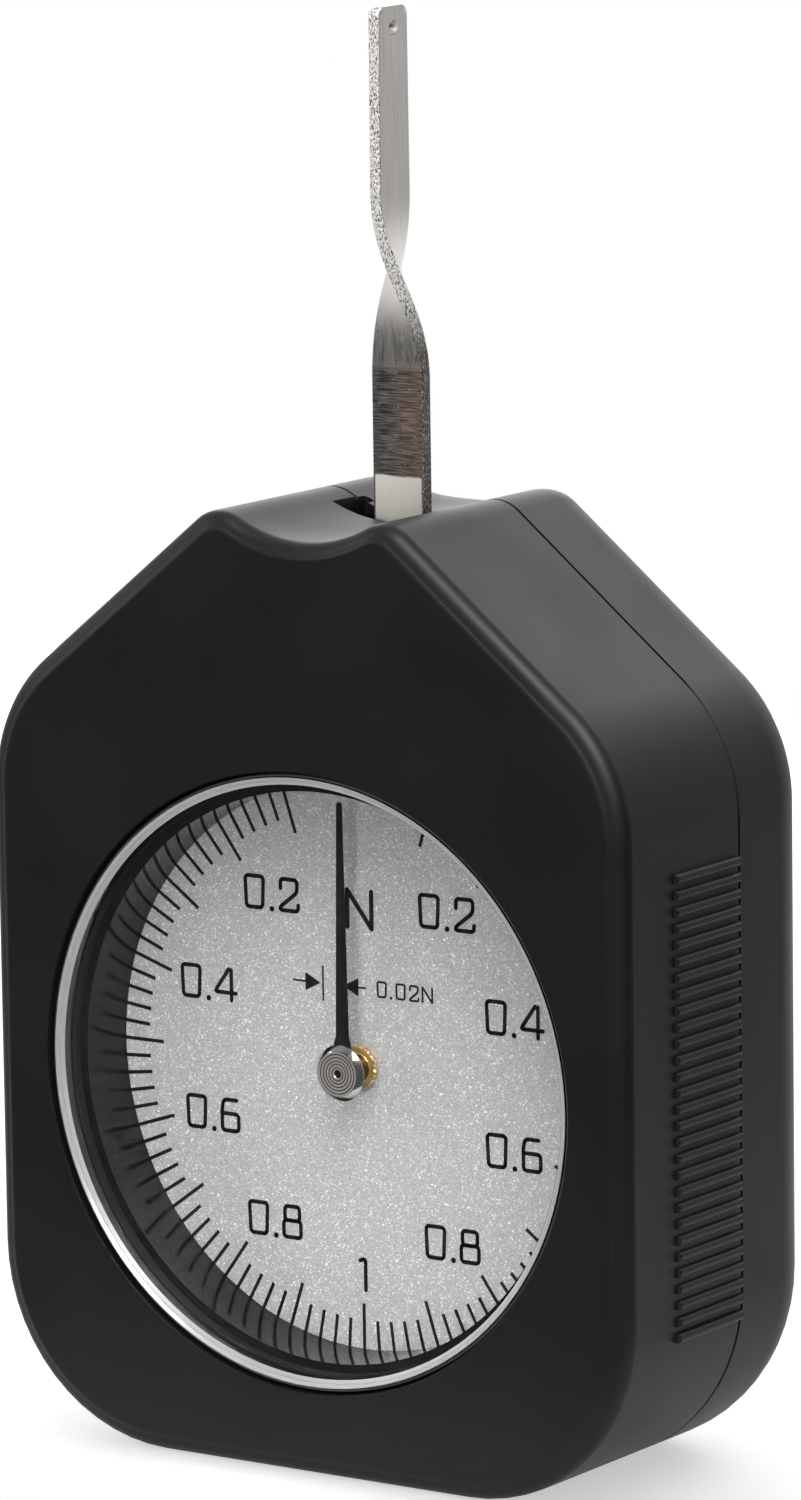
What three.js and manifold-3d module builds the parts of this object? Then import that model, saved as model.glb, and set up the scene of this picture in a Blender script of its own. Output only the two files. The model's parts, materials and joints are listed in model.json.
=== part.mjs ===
// A dial tension gauge. A feeler arm stands out of the top of a black case. Pushed sideways, it rocks a toothed
// lever, and the lever turns the pointer over a round dial that reads both ways from zero at the top.
// Millimetres, +Z up, the dial faces -Y, and the origin is the middle of the foot.
import * as THREE from 'three';
import { ConvexGeometry } from 'three/addons/geometries/ConvexGeometry.js';
import { mergeVertices } from 'three/addons/utils/BufferGeometryUtils.js';
import Module from 'manifold-3d';

const wasm = await Module();
wasm.setup();

// Case
const caseWidth = 62;
const rearDepth = 12.7;
const topAbovePivot = 14.35;
const shoulderAboveWindow = 28.6;
const topHalfWidth = 9.05;
const footRadius = 16;
const shoulderRadius = 13.8;
const topRadius = 3.4;
const caseWall = 2.2;
const frontBevel = 1.4;
const rearRound = 6.5;
const seamGap = 0.1;
const scoopLip = 0.65;
const scoopDepth = 2.1;
const slotEndClear = 0.25;
const slotNotchInset = 0.75;
const slotNotchWidth = 0.65;
const slotNotchDepth = 1.4;

// Finger grips on both sides of the front shell
const gripRidges = 29;
const gripPitch = 1.33;
const gripRidgeHeight = 0.75;
const gripProud = 0.4;
const gripFrontDepth = 7.4;

// Window, dial and the clearances between seated pieces
const seatFit = 0.05;
const boreFit = 0.1;
const chinHeight = 5.5;
const crystalRadius = 25.1;
const crystalThickness = 2;
const crystalBevel = 0.5;
const crystalRecess = 0.4;
const gasketWidth = 0.4;
const gasketRecess = 0.3;
const wellLedge = 1;
const ledgeReach = 1.6;
const wellWall = 1.8;
const dialDepth = 9;
const dialThickness = 0.8;
const dialBackClear = 0.65;
const dialHoleRadius = 2.2;
const dialFootRadius = 1;
const dialFootSpread = 10;

// Lever, gears and feeler arm
const pinionPitchRadius = 2;
const pinionTeeth = 12;
const sectorTurnTeeth = 180;
const sectorTeeth = 16;
const rimWidth = 4;
const leverThickness = 1.2;
const leverHubRadius = 4.2;
const leverStemWidth = 6;
const leverTail = 8.8;
const leverClear = 2.3;
const armWidth = 5;
const armThickness = 1.2;
const armTipWidth = 3.5;
const armUpperWidth = 3.9;
const armTipThickness = 1.05;
const armBackClear = 1.1;
const armFrontClear = 1.1;
const armFoot = 3;
const armReach = 54.1;
const armTwistStart = 26.5;
const armTwistEnd = 39.5;
const armTipForward = 1;
const armTipCorner = 0.8;
const armHoleRadius = 0.75;
const armHoleDrop = 1.8;
const armScrewHeights = [5.4, 8];
const armScrewRadius = 0.6;
const armScrewHeadRadius = 1.25;
const armScrewHead = 0.7;

// Movement frame
const plateThickness = 1;
const pillarLength = 8.6;
const pillarRadius = 2;
const lowerPillarPlace = { x: 12.5, belowWindow: 14.5 };
const upperPillarPlace = { x: 12.5, belowPivot: 14.5 };
const screwRadius = 0.9;
const screwHeadRadius = 1.8;
const screwHead = 1;
const screwSlotWidth = 0.4;
const screwSlotDepth = 0.4;
const pillarScrewLength = 3;
const lowerPostSpread = 8;
const upperPostPlace = { x: 9.5, abovePivot: 0.5 };
const postRadius = 2;
const postScrewLength = 5;
const plateEdge = 1.7;
const plateEndEdge = 2.4;
const plateSideEdge = 2.7;
const plateShoulder = 5;
const plateHighEdge = 3;
const rearPlateNeck = { x: 6, belowPivot: 4.5, abovePivot: 5.5 };
const bushRadius = 2.2;
const bushFlangeRadius = 3;
const bushFlange = 0.5;
const stopPinRadius = 1;
const stopPinReach = 20;
const stopAngle = 12;
const stopClear = 0.2;
const stopPinOverrun = 0.6;

// Pivot shaft and lever hub
const pivotShaftRadius = 1;
const hubRadius = 2.4;
const hubFlangeRadius = 3.6;
const hubFlange = 0.8;
const hubLength = 5.4;
const shaftEnd = 0.4;

// Measuring spring, which holds the lever between a fixed post and a pin on the lever
const springWire = 0.35;
const springCoilRadius = 3.3;
const springCoilPitch = 1.1;
const springCoilTurns = 1.5;
const springCoilStart = 0.75;
const springPinRadius = 1;
const springPinReach = 10;
const springPostReach = 14;
const springLegReach = 16;
const springPinLength = 4.2;

// Pointer and its arbor
const arborRadius = 0.7;
const pinionLength = 1.9;
const capDepth = 5.4;
const capRadius = 2.4;
const capThickness = 0.9;
const capBevel = 0.3;
const pointerThickness = 0.25;
const pointerLength = 22.3;
const pointerBaseWidth = 1.3;
const pointerTipWidth = 0.45;
const pointerHubRadius = 1.6;
const colletNeckRadius = 1.2;
const colletFlangeRadius = 1.75;
const colletFlange = 0.9;
const colletLift = 0.3;
const arborNose = 0.4;
const hairspringInner = 1.9;
const hairspringOuter = 6;
const hairspringTurns = 4;
const hairspringStrip = 0.2;
const hairspringHeight = 0.6;
const hairspringColletRadius = 1.7;
const hairspringColletLength = 1.2;
const hairspringLift = 0.8;
const hairspringStudRadius = 0.6;

// Case screws, driven in from the back
const lowerBossAngle = 43;
const upperBossAngle = 32.5;
const upperBossRoom = 3;
const bossRadius = 2.6;
const caseScrewRadius = 1.1;
const caseScrewBoreFit = 0.25;
const caseScrewHeadRadius = 2;
const caseScrewHead = 1.2;
const caseScrewSunk = 0.4;
const caseScrewGrip = 4.5;

// Fineness of round shapes, and how far a cutter runs past the face that it cuts
const cornerSteps = 7;
const edgeSteps = 4;
const windowSides = 72;
const shaftSides = 20;
const pieceSides = 28;
const scoopSides = 72;
const overrun = 1;
const mergeTolerance = 0.0001;

// Half widths of a gear tooth as shares of the angle between two teeth, and its heights as shares of the module
const toothRootShare = 0.27;
const toothPitchShare = 0.22;
const toothTipShare = 0.11;
const addendumShare = 0.8;
const dedendumShare = 1.15;
const sectorEndShare = 0.5;

// The case's depth is what the dial, the front plate, the lever and the arm take up, and the room behind them
const partingDepth = dialDepth + dialThickness + dialBackClear + plateThickness + leverClear + leverThickness
  + seatFit + armThickness + armBackClear;
const caseDepth = partingDepth + rearDepth;

// Stations along Y, from the front face to the back
const frontY = -caseDepth / 2;
const backY = caseDepth / 2;
const partingY = frontY + partingDepth;
const crystalFrontY = frontY + crystalRecess;
const crystalBackY = crystalFrontY + crystalThickness;
const ledgeFrontY = crystalBackY + seatFit;
const ledgeBackY = ledgeFrontY + wellLedge;
const dialFrontY = frontY + dialDepth;
const dialBackY = dialFrontY + dialThickness;
const armBackY = partingY - armBackClear;
const armFrontY = armBackY - armThickness;
const leverBackY = armFrontY - seatFit;
const leverFrontY = leverBackY - leverThickness;
const frontPlateBackY = leverFrontY - leverClear;
const frontPlateFrontY = frontPlateBackY - plateThickness;
const rearPlateFrontY = frontPlateBackY + pillarLength;
const rearPlateBackY = rearPlateFrontY + plateThickness;
const capFrontY = frontY + capDepth;
const capBackY = capFrontY + capThickness;
const pointerFrontY = capBackY + seatFit;
const pointerBackY = pointerFrontY + pointerThickness;
const colletBackY = dialFrontY - colletLift;
const hairspringY = rearPlateBackY + hairspringLift;

// Radii of the window's steps
const crystalBore = crystalRadius + gasketWidth + 2 * seatFit;
const wellBore = crystalRadius + boreFit;
const wellRadius = wellBore - ledgeReach;

// Heights: the window stands above the chin, the pivot above the window, and the top above the pivot
const gearModule = 2 * pinionPitchRadius / pinionTeeth;
const sectorPitchRadius = gearModule * sectorTurnTeeth / 2;
const windowHeight = chinHeight + wellBore + wellWall;
const pivotZ = windowHeight + pinionPitchRadius + sectorPitchRadius;
const shoulderHeight = windowHeight + shoulderAboveWindow;
const caseTop = pivotZ + topAbovePivot;
const armTop = pivotZ + armReach;
const armTwistStartZ = pivotZ + armTwistStart;
const armTwistEndZ = pivotZ + armTwistEnd;
const gripBottom = windowHeight - gripPitch * (gripRidges - 1) / 2;

// Places of the pillars, the posts and the case screws, in X and Z
const lowerPillar = { x: lowerPillarPlace.x, z: windowHeight - lowerPillarPlace.belowWindow };
const upperPillar = { x: upperPillarPlace.x, z: pivotZ - upperPillarPlace.belowPivot };
const postReach = wellBore + wellWall + postRadius;
const lowerPost = { x: lowerPostSpread, z: windowHeight - Math.sqrt(postReach ** 2 - lowerPostSpread ** 2) };
const upperPost = { x: upperPostPlace.x, z: pivotZ + upperPostPlace.abovePivot };
const plateHalfWidth = Math.max(lowerPillar.x, upperPillar.x) + plateSideEdge;
const plateLowHalfWidth = lowerPost.x + plateEndEdge;
const plateHighHalfWidth = upperPost.x + plateEndEdge;
const lowerBoss = aroundWindow(THREE.MathUtils.degToRad(lowerBossAngle), 0, -1);
const upperBoss = aroundWindow(THREE.MathUtils.degToRad(upperBossAngle), upperBossRoom, 1);

// The scoop and the slot in the case's top
const scoopHalfWidth = topHalfWidth - scoopLip;
const swing = THREE.MathUtils.degToRad(stopAngle);
const slotHalfLength = armWidth / 2 + topAbovePivot * Math.tan(swing) + slotEndClear;
const slotWidth = armThickness + armBackClear + armFrontClear;
const scoopRadius = (scoopHalfWidth ** 2 + scoopDepth ** 2) / (2 * scoopDepth);
const scoopZ = caseTop - scoopDepth + scoopRadius;

// Materials
function finish(color, roughness, metalness) {
  return new THREE.MeshStandardMaterial({ color, roughness, metalness });
}
const shellBlack = finish(0x2a2b2c, 0.55, 0);
const innerBlack = finish(0x151515, 0.15, 0);
const rubberBlack = finish(0x0d0d0d, 0.8, 0);
const clear = finish(0xe8eef0, 0.05, 0);
const dialSilver = finish(0xbdbdbd, 0.4, 0.6);
const pointerBlack = finish(0x141414, 0.4, 0);
const nickel = finish(0xb9b4aa, 0.3, 1);
const steel = finish(0x9a9a98, 0.35, 1);
const brass = finish(0xc09a4e, 0.3, 1);

const gauge = new THREE.Group();

// A boss's place outside the window's well, at an angle from straight down or straight up
function aroundWindow(angle, room, way) {
  const reach = wellBore + wellWall + bossRadius + room;
  return { x: reach * Math.sin(angle), z: windowHeight + way * reach * Math.cos(angle) };
}

// Turns a three.js geometry into a solid that can be cut and joined
function solid(geometry) {
  const bare = geometry.clone();
  bare.deleteAttribute('normal');
  bare.deleteAttribute('uv');
  const merged = mergeVertices(bare, mergeTolerance);
  const corners = merged.index.array;
  const faces = [];
  for (let i = 0; i < corners.length; i += 3) {
    const [a, b, c] = corners.slice(i, i + 3);
    if (a !== b && b !== c && c !== a) faces.push(a, b, c);
  }
  return new wasm.Manifold(new wasm.Mesh({
    numProp: 3,
    vertProperties: new Float32Array(merged.attributes.position.array),
    triVerts: new Uint32Array(faces),
  }));
}

// Names a solid, gives it a material and adds it to the gauge
function place(name, body, material) {
  const { vertProperties, triVerts } = body.getMesh();
  const geometry = new THREE.BufferGeometry();
  geometry.setAttribute('position', new THREE.BufferAttribute(vertProperties, 3));
  geometry.setIndex(new THREE.BufferAttribute(triVerts, 1));
  geometry.computeVertexNormals();
  const mesh = new THREE.Mesh(geometry, material);
  mesh.name = name;
  gauge.add(mesh);
}

// A round bar along Y
function rod(x, z, radius, y0, y1, sides = shaftSides) {
  const bar = new THREE.CylinderGeometry(radius, radius, y1 - y0, sides);
  return solid(bar.translate(x, (y0 + y1) / 2, z));
}

// A solid of revolution about a line along Y, from [radius, y] pairs given front to back
function turned(x, z, profile, sides = shaftSides) {
  const points = profile.map(([radius, y]) => new THREE.Vector2(radius, y));
  return solid(new THREE.LatheGeometry(points, sides).translate(x, 0, z));
}

// A ring of rectangular section about a line along Y
function ring(x, z, inner, outer, y0, y1, sides = shaftSides) {
  return turned(x, z, [[inner, y0], [outer, y0], [outer, y1], [inner, y1], [inner, y0]], sides);
}

// A plate: an outline in X and Z, given its thickness along Y
function plate(shape, y0, y1, curveSegments = cornerSteps) {
  const sheet = new THREE.ExtrudeGeometry(shape, { depth: y1 - y0, bevelEnabled: false, curveSegments });
  return solid(sheet.rotateX(Math.PI / 2).translate(0, y1, 0));
}

function block(x0, x1, y0, y1, z0, z1) {
  const box = new THREE.BoxGeometry(x1 - x0, y1 - y0, z1 - z0);
  return solid(box.translate((x0 + x1) / 2, (y0 + y1) / 2, (z0 + z1) / 2));
}

function polygon(points) {
  return new THREE.Shape(points.map(([x, z]) => new THREE.Vector2(x, z)));
}

// Runs a maker for both sides, left first
function bothSides(make) {
  return [['left', -1], ['right', 1]].map(([side, sign]) => make(side, sign));
}

function joined(solids) {
  return solids.reduce((whole, next) => whole.add(next));
}

// The case's outline without its scoop, moved in by an inset: points round three rounded corners on each side
function caseOutline(inset) {
  const shoulder = new THREE.Vector2(topHalfWidth - caseWidth / 2, caseTop - shoulderHeight).normalize();
  const slope = Math.atan2(shoulder.y, shoulder.x);
  const corners = [
    [caseWidth / 2, 0, footRadius, -Math.PI / 2, 0],
    [caseWidth / 2, shoulderHeight, shoulderRadius, 0, slope - Math.PI / 2],
    [topHalfWidth, caseTop, topRadius, slope - Math.PI / 2, Math.PI / 2],
  ];
  const points = [];
  for (const [x, z, radius, from, to] of corners) {
    const middle = (from + to) / 2;
    const reach = radius / Math.cos((to - from) / 2);
    const centreX = x - reach * Math.cos(middle);
    const centreZ = z - reach * Math.sin(middle);
    const left = Math.max(radius - inset, 0);
    const slip = (inset - radius + left) / Math.cos((to - from) / 2);
    for (let i = 0; i <= cornerSteps; i += 1) {
      const angle = from + (to - from) * i / cornerSteps;
      points.push([
        centreX - slip * Math.cos(middle) + left * Math.cos(angle),
        centreZ - slip * Math.sin(middle) + left * Math.sin(angle),
      ]);
    }
  }
  return [...points, ...points.map(([x, z]) => [-x, z])];
}

// A solid of the case's outline between two depths, with a bevel round its front and a rounding round its back
function caseBlank(inset, y0, y1, bevel, round) {
  const points = [];
  const addOutline = (extra, y) => {
    for (const [x, z] of caseOutline(inset + extra)) points.push(new THREE.Vector3(x, y, z));
  };
  addOutline(bevel, y0);
  addOutline(0, y0 + bevel);
  for (let i = 0; i <= edgeSteps; i += 1) {
    const angle = Math.PI / 2 * i / edgeSteps;
    addOutline(round * (1 - Math.cos(angle)), y1 - round * (1 - Math.sin(angle)));
  }
  return solid(new ConvexGeometry(points));
}

// The shells' shared forms: the whole outside and the whole inside, both with the scoop in the top
function caseOutside() {
  const scoop = rod(0, scoopZ, scoopRadius, frontY - overrun, backY + overrun, scoopSides);
  return caseBlank(0, frontY, backY, frontBevel, rearRound).subtract(scoop);
}

function caseInside() {
  const scoopWall = rod(0, scoopZ, scoopRadius + caseWall, frontY, backY, scoopSides);
  const round = Math.max(rearRound - caseWall, 0);
  return caseBlank(caseWall, frontY + caseWall, backY - caseWall, 0, round).subtract(scoopWall);
}

// Everything in front of or behind a depth
function slabBetween(y0, y1) {
  return block(-caseWidth, caseWidth, y0, y1, -caseTop, 2 * caseTop);
}

// A comb of ridges up one side of the front shell
function gripComb(sign) {
  const root = sign * (caseWidth / 2 - caseWall / 2);
  const low = sign * caseWidth / 2;
  const high = sign * (caseWidth / 2 + gripProud);
  const halfRidge = gripRidgeHeight / 2;
  const halfCrest = gripRidgeHeight / 4;
  const points = [[root, gripBottom - halfRidge]];
  for (let i = 0; i < gripRidges; i += 1) {
    const z = gripBottom + i * gripPitch;
    points.push([low, z - halfRidge], [high, z - halfCrest], [high, z + halfCrest], [low, z + halfRidge]);
  }
  points.push([root, gripBottom + (gripRidges - 1) * gripPitch + halfRidge]);
  return plate(polygon(points), frontY + gripFrontDepth, partingY - seamGap / 2);
}

function frontShell() {
  const shellBackY = partingY - seamGap / 2;
  const innerFrontY = frontY + caseWall;
  let shell = caseOutside().intersect(slabBetween(frontY - overrun, shellBackY));
  shell = shell.subtract(caseInside().intersect(slabBetween(frontY, backY)));
  const well = rod(0, windowHeight, wellBore + wellWall, innerFrontY, dialBackY, windowSides);
  const supports = [well];
  bothSides((side, sign) => {
    for (const { x, z } of [lowerBoss, upperBoss]) {
      supports.push(rod(sign * x, z, bossRadius, innerFrontY, shellBackY));
    }
    for (const { x, z } of [lowerPost, upperPost]) {
      supports.push(rod(sign * x, z, postRadius, innerFrontY, frontPlateFrontY - seatFit));
    }
  });
  const room = caseOutside().intersect(slabBetween(frontY + caseWall / 2, shellBackY));
  shell = shell.add(joined(supports).intersect(room));
  shell = joined([shell, ...bothSides((side, sign) => gripComb(sign))]);
  const cuts = [
    rod(0, windowHeight, crystalBore, frontY - overrun, ledgeFrontY, windowSides),
    rod(0, windowHeight, wellRadius, frontY - overrun, backY, windowSides),
    rod(0, windowHeight, wellBore, ledgeBackY, backY, windowSides),
    block(-slotHalfLength, slotHalfLength, partingY - slotWidth, backY, pivotZ + leverTail, armTop),
  ];
  bothSides((side, sign) => {
    for (const { x, z } of [lowerBoss, upperBoss]) {
      cuts.push(rod(sign * x, z, caseScrewRadius + caseScrewBoreFit, caseScrewTipY() - overrun, backY));
    }
    for (const { x, z } of [lowerPost, upperPost]) {
      cuts.push(rod(sign * x, z, screwRadius + boreFit, postScrewTipY() - boreFit, backY));
    }
  });
  place('front_shell', shell.subtract(joined(cuts)), shellBlack);
}

function rearShell() {
  const shellFrontY = partingY + seamGap / 2;
  const innerBackY = backY - caseWall;
  let shell = caseOutside().intersect(slabBetween(shellFrontY, backY + overrun));
  shell = shell.subtract(caseInside());
  const bosses = [];
  const cuts = [];
  bothSides((side, sign) => {
    for (const { x, z } of [lowerBoss, upperBoss]) {
      bosses.push(rod(sign * x, z, bossRadius, shellFrontY, innerBackY + caseWall / 2));
      cuts.push(rod(sign * x, z, caseScrewRadius + caseScrewBoreFit, shellFrontY - overrun, backY + overrun));
      cuts.push(rod(sign * x, z, caseScrewHeadRadius + caseScrewBoreFit, caseScrewSeatY(), backY + overrun));
    }
    const notchX = sign * (slotHalfLength - slotNotchInset);
    const notchHalf = slotNotchWidth / 2;
    const notchBackY = shellFrontY + slotNotchDepth;
    cuts.push(block(notchX - notchHalf, notchX + notchHalf, partingY, notchBackY, pivotZ + leverTail, armTop));
  });
  shell = shell.add(joined(bosses)).subtract(joined(cuts));
  place('rear_shell', shell, shellBlack);
}

function caseScrewSeatY() {
  return backY - caseScrewSunk - caseScrewHead;
}

function caseScrewTipY() {
  return partingY - caseScrewGrip;
}

function postScrewTipY() {
  return frontPlateBackY - postScrewLength;
}

// A slotted screw along Y whose head faces +Y, with its seat under the head at seatY
function screw(x, z, radius, headRadius, head, tipY, seatY) {
  const headY = seatY + head;
  const body = turned(x, z, [
    [0, tipY], [radius, tipY], [radius, seatY], [headRadius, seatY], [headRadius, headY], [0, headY],
  ]);
  const slot = screwSlotWidth / 2;
  const cut = block(x - headRadius, x + headRadius, headY - screwSlotDepth, headY + overrun, z - slot, z + slot);
  return body.subtract(cut);
}

function caseScrews() {
  const seatY = caseScrewSeatY() + seatFit;
  bothSides((side, sign) => {
    for (const [level, { x, z }] of [['lower', lowerBoss], ['upper', upperBoss]]) {
      const body = screw(sign * x, z, caseScrewRadius, caseScrewHeadRadius, caseScrewHead, caseScrewTipY(), seatY);
      place(`case_screw_${level}_${side}`, body, steel);
    }
  });
}

function windowCrystal() {
  const flat = crystalRadius - crystalBevel;
  const profile = [
    [0, crystalFrontY], [flat, crystalFrontY], [crystalRadius, crystalFrontY + crystalBevel],
    [crystalRadius, crystalBackY], [0, crystalBackY],
  ];
  place('window_crystal', turned(0, windowHeight, profile, windowSides), clear);
}

function windowGasket() {
  const inner = crystalRadius + seatFit;
  const outer = inner + gasketWidth;
  const body = ring(0, windowHeight, inner, outer, crystalFrontY + gasketRecess, crystalBackY, windowSides);
  place('window_gasket', body, rubberBlack);
}

function dialSpacerRing() {
  const backEdgeY = dialFrontY - seatFit;
  const body = ring(0, windowHeight, wellRadius, wellBore - seatFit, ledgeBackY + seatFit, backEdgeY, windowSides);
  place('dial_spacer_ring', body, innerBlack);
}

// The dial, with two feet behind it that stand on the movement
function dialPlate() {
  let body = ring(0, windowHeight, dialHoleRadius, wellBore - seatFit, dialFrontY, dialBackY, windowSides);
  const feet = bothSides((side, sign) =>
    rod(sign * dialFootSpread, windowHeight, dialFootRadius, dialBackY - dialThickness / 2, frontPlateFrontY - seatFit));
  place('dial_plate', joined([body, ...feet]), dialSilver);
}

function movementPlateFront() {
  const low = lowerPost.z - plateEdge;
  const high = upperPost.z + plateHighEdge;
  const outline = polygon([
    [-plateLowHalfWidth, low], [plateLowHalfWidth, low],
    [plateHalfWidth, lowerPillar.z - plateShoulder], [plateHalfWidth, upperPillar.z + plateEdge],
    [plateHighHalfWidth, high], [-plateHighHalfWidth, high],
    [-plateHalfWidth, upperPillar.z + plateEdge], [-plateHalfWidth, lowerPillar.z - plateShoulder],
  ]);
  const body = plate(outline, frontPlateFrontY, frontPlateBackY);
  place('movement_plate_front', body.subtract(plateHoles([lowerPost, upperPost])), brass);
}

function movementPlateRear() {
  const low = lowerPillar.z - plateShoulder;
  const side = upperPillar.z + plateEdge;
  const neck = pivotZ - rearPlateNeck.belowPivot;
  const top = pivotZ + rearPlateNeck.abovePivot;
  const outline = polygon([
    [-plateHalfWidth, low], [plateHalfWidth, low], [plateHalfWidth, side], [rearPlateNeck.x, neck],
    [rearPlateNeck.x, top], [-rearPlateNeck.x, top], [-rearPlateNeck.x, neck], [-plateHalfWidth, side],
  ]);
  const body = plate(outline, rearPlateFrontY, rearPlateBackY);
  place('movement_plate_rear', body.subtract(plateHoles([lowerPillar, upperPillar])), brass);
}

// The holes of a movement plate: the two bushes on its middle line, and a pair for each screw place
function plateHoles(screwPlaces) {
  const holes = [windowHeight, pivotZ].map((z) => rod(0, z, bushRadius + boreFit, frontY, backY));
  bothSides((side, sign) => {
    for (const { x, z } of screwPlaces) holes.push(rod(sign * x, z, screwRadius + boreFit, frontY, backY));
  });
  return joined(holes);
}

function pillars() {
  bothSides((side, sign) => {
    for (const [level, { x, z }] of [['lower', lowerPillar], ['upper', upperPillar]]) {
      const bar = rod(sign * x, z, pillarRadius, frontPlateBackY, rearPlateFrontY);
      const bore = rod(sign * x, z, screwRadius + boreFit, rearPlateFrontY - pillarScrewLength, backY);
      place(`pillar_${level}_${side}`, bar.subtract(bore), brass);
      const tipY = rearPlateFrontY - pillarScrewLength + boreFit;
      const seatY = rearPlateBackY + seatFit;
      const body = screw(sign * x, z, screwRadius, screwHeadRadius, screwHead, tipY, seatY);
      place(`pillar_screw_${level}_${side}`, body, steel);
    }
  });
}

// Screws that hold the movement to the front shell's posts
function movementScrews() {
  bothSides((side, sign) => {
    for (const [level, { x, z }] of [['lower', lowerPost], ['upper', upperPost]]) {
      const seatY = frontPlateBackY + seatFit;
      const body = screw(sign * x, z, screwRadius, screwHeadRadius, screwHead, postScrewTipY(), seatY);
      place(`movement_screw_${level}_${side}`, body, steel);
    }
  });
}

// A flanged bearing bush in each plate for the arbor and for the pivot shaft
function bush(name, z, boreRadius, plateFrontY, plateBackY, flangeY) {
  const bore = boreRadius + boreFit;
  const flangeFront = Math.min(flangeY, flangeY + Math.sign(flangeY - plateFrontY) * bushFlange);
  const body = ring(0, z, bore, bushRadius, plateFrontY, plateBackY);
  const flange = ring(0, z, bore, bushFlangeRadius, flangeFront, flangeFront + bushFlange);
  place(name, body.add(flange), brass);
}

function bushes() {
  for (const [piece, z, radius] of [['arbor', windowHeight, arborRadius], ['pivot', pivotZ, pivotShaftRadius]]) {
    const frontFlangeY = frontPlateBackY + seatFit;
    bush(`${piece}_bush_front`, z, radius, frontPlateFrontY, frontFlangeY + bushFlange, frontFlangeY);
    const rearFlangeY = rearPlateFrontY - seatFit - bushFlange;
    bush(`${piece}_bush_rear`, z, radius, rearFlangeY, rearPlateBackY, rearFlangeY);
  }
}

// Two pins on the front plate that stop the lever's stem at the ends of its swing
function stopPins() {
  const stemAngle = Math.asin(leverStemWidth / 2 / stopPinReach);
  const pinAngle = Math.asin((stopPinRadius + stopClear) / stopPinReach);
  const angle = stemAngle + pinAngle + swing;
  bothSides((side, sign) => {
    const x = sign * stopPinReach * Math.sin(angle);
    const z = pivotZ - stopPinReach * Math.cos(angle);
    place(`stop_pin_${side}`, rod(x, z, stopPinRadius, frontPlateBackY, leverBackY + stopPinOverrun), steel);
  });
}

// Points of gear teeth round a centre: angles are measured from the direction towards the other gear
function toothPoints(count, step, pitchRadius, pointAt) {
  const root = pitchRadius - dedendumShare * gearModule;
  const tip = pitchRadius + addendumShare * gearModule;
  const points = [];
  for (let i = 0; i < count; i += 1) {
    const angle = (i - (count - 1) / 2) * step;
    points.push(pointAt(root, angle - toothRootShare * step), pointAt(pitchRadius, angle - toothPitchShare * step));
    points.push(pointAt(tip, angle - toothTipShare * step), pointAt(tip, angle + toothTipShare * step));
    points.push(pointAt(pitchRadius, angle + toothPitchShare * step), pointAt(root, angle + toothRootShare * step));
  }
  return points;
}

// The lever: a toothed rim on a stem, a hub on the pivot, and a tail that carries the feeler arm
function sectorLever() {
  const step = 2 * Math.PI / sectorTurnTeeth;
  const pointAt = (radius, angle) => [radius * Math.sin(angle), pivotZ - radius * Math.cos(angle)];
  const rootRadius = sectorPitchRadius - dedendumShare * gearModule;
  const endAngle = (sectorTeeth / 2 + sectorEndShare) * step;
  const rim = [pointAt(rootRadius, -endAngle), ...toothPoints(sectorTeeth, step, sectorPitchRadius, pointAt)];
  rim.push(pointAt(rootRadius, endAngle));
  for (let i = sectorTeeth; i >= 0; i -= 1) {
    rim.push(pointAt(rootRadius - rimWidth, endAngle * (2 * i / sectorTeeth - 1)));
  }
  const stem = leverStemWidth / 2;
  const tail = armWidth / 2;
  const stemFoot = pivotZ - rootRadius + rimWidth / 2;
  const body = joined([
    plate(polygon(rim), leverFrontY, leverBackY),
    rod(0, pivotZ, leverHubRadius, leverFrontY, leverBackY, pieceSides),
    block(-stem, stem, leverFrontY, leverBackY, stemFoot, pivotZ),
    block(-tail, tail, leverFrontY, leverBackY, pivotZ, pivotZ + leverTail),
  ]);
  const holes = [
    rod(0, pivotZ, hubRadius + boreFit, frontY, backY),
    rod(0, pivotZ - springPinReach, springPinRadius + boreFit, frontY, backY),
    ...armScrewHeights.map((height) => rod(0, pivotZ + height, armScrewRadius + boreFit, frontY, backY)),
  ];
  place('sector_lever', body.subtract(joined(holes)), brass);
}

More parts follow.
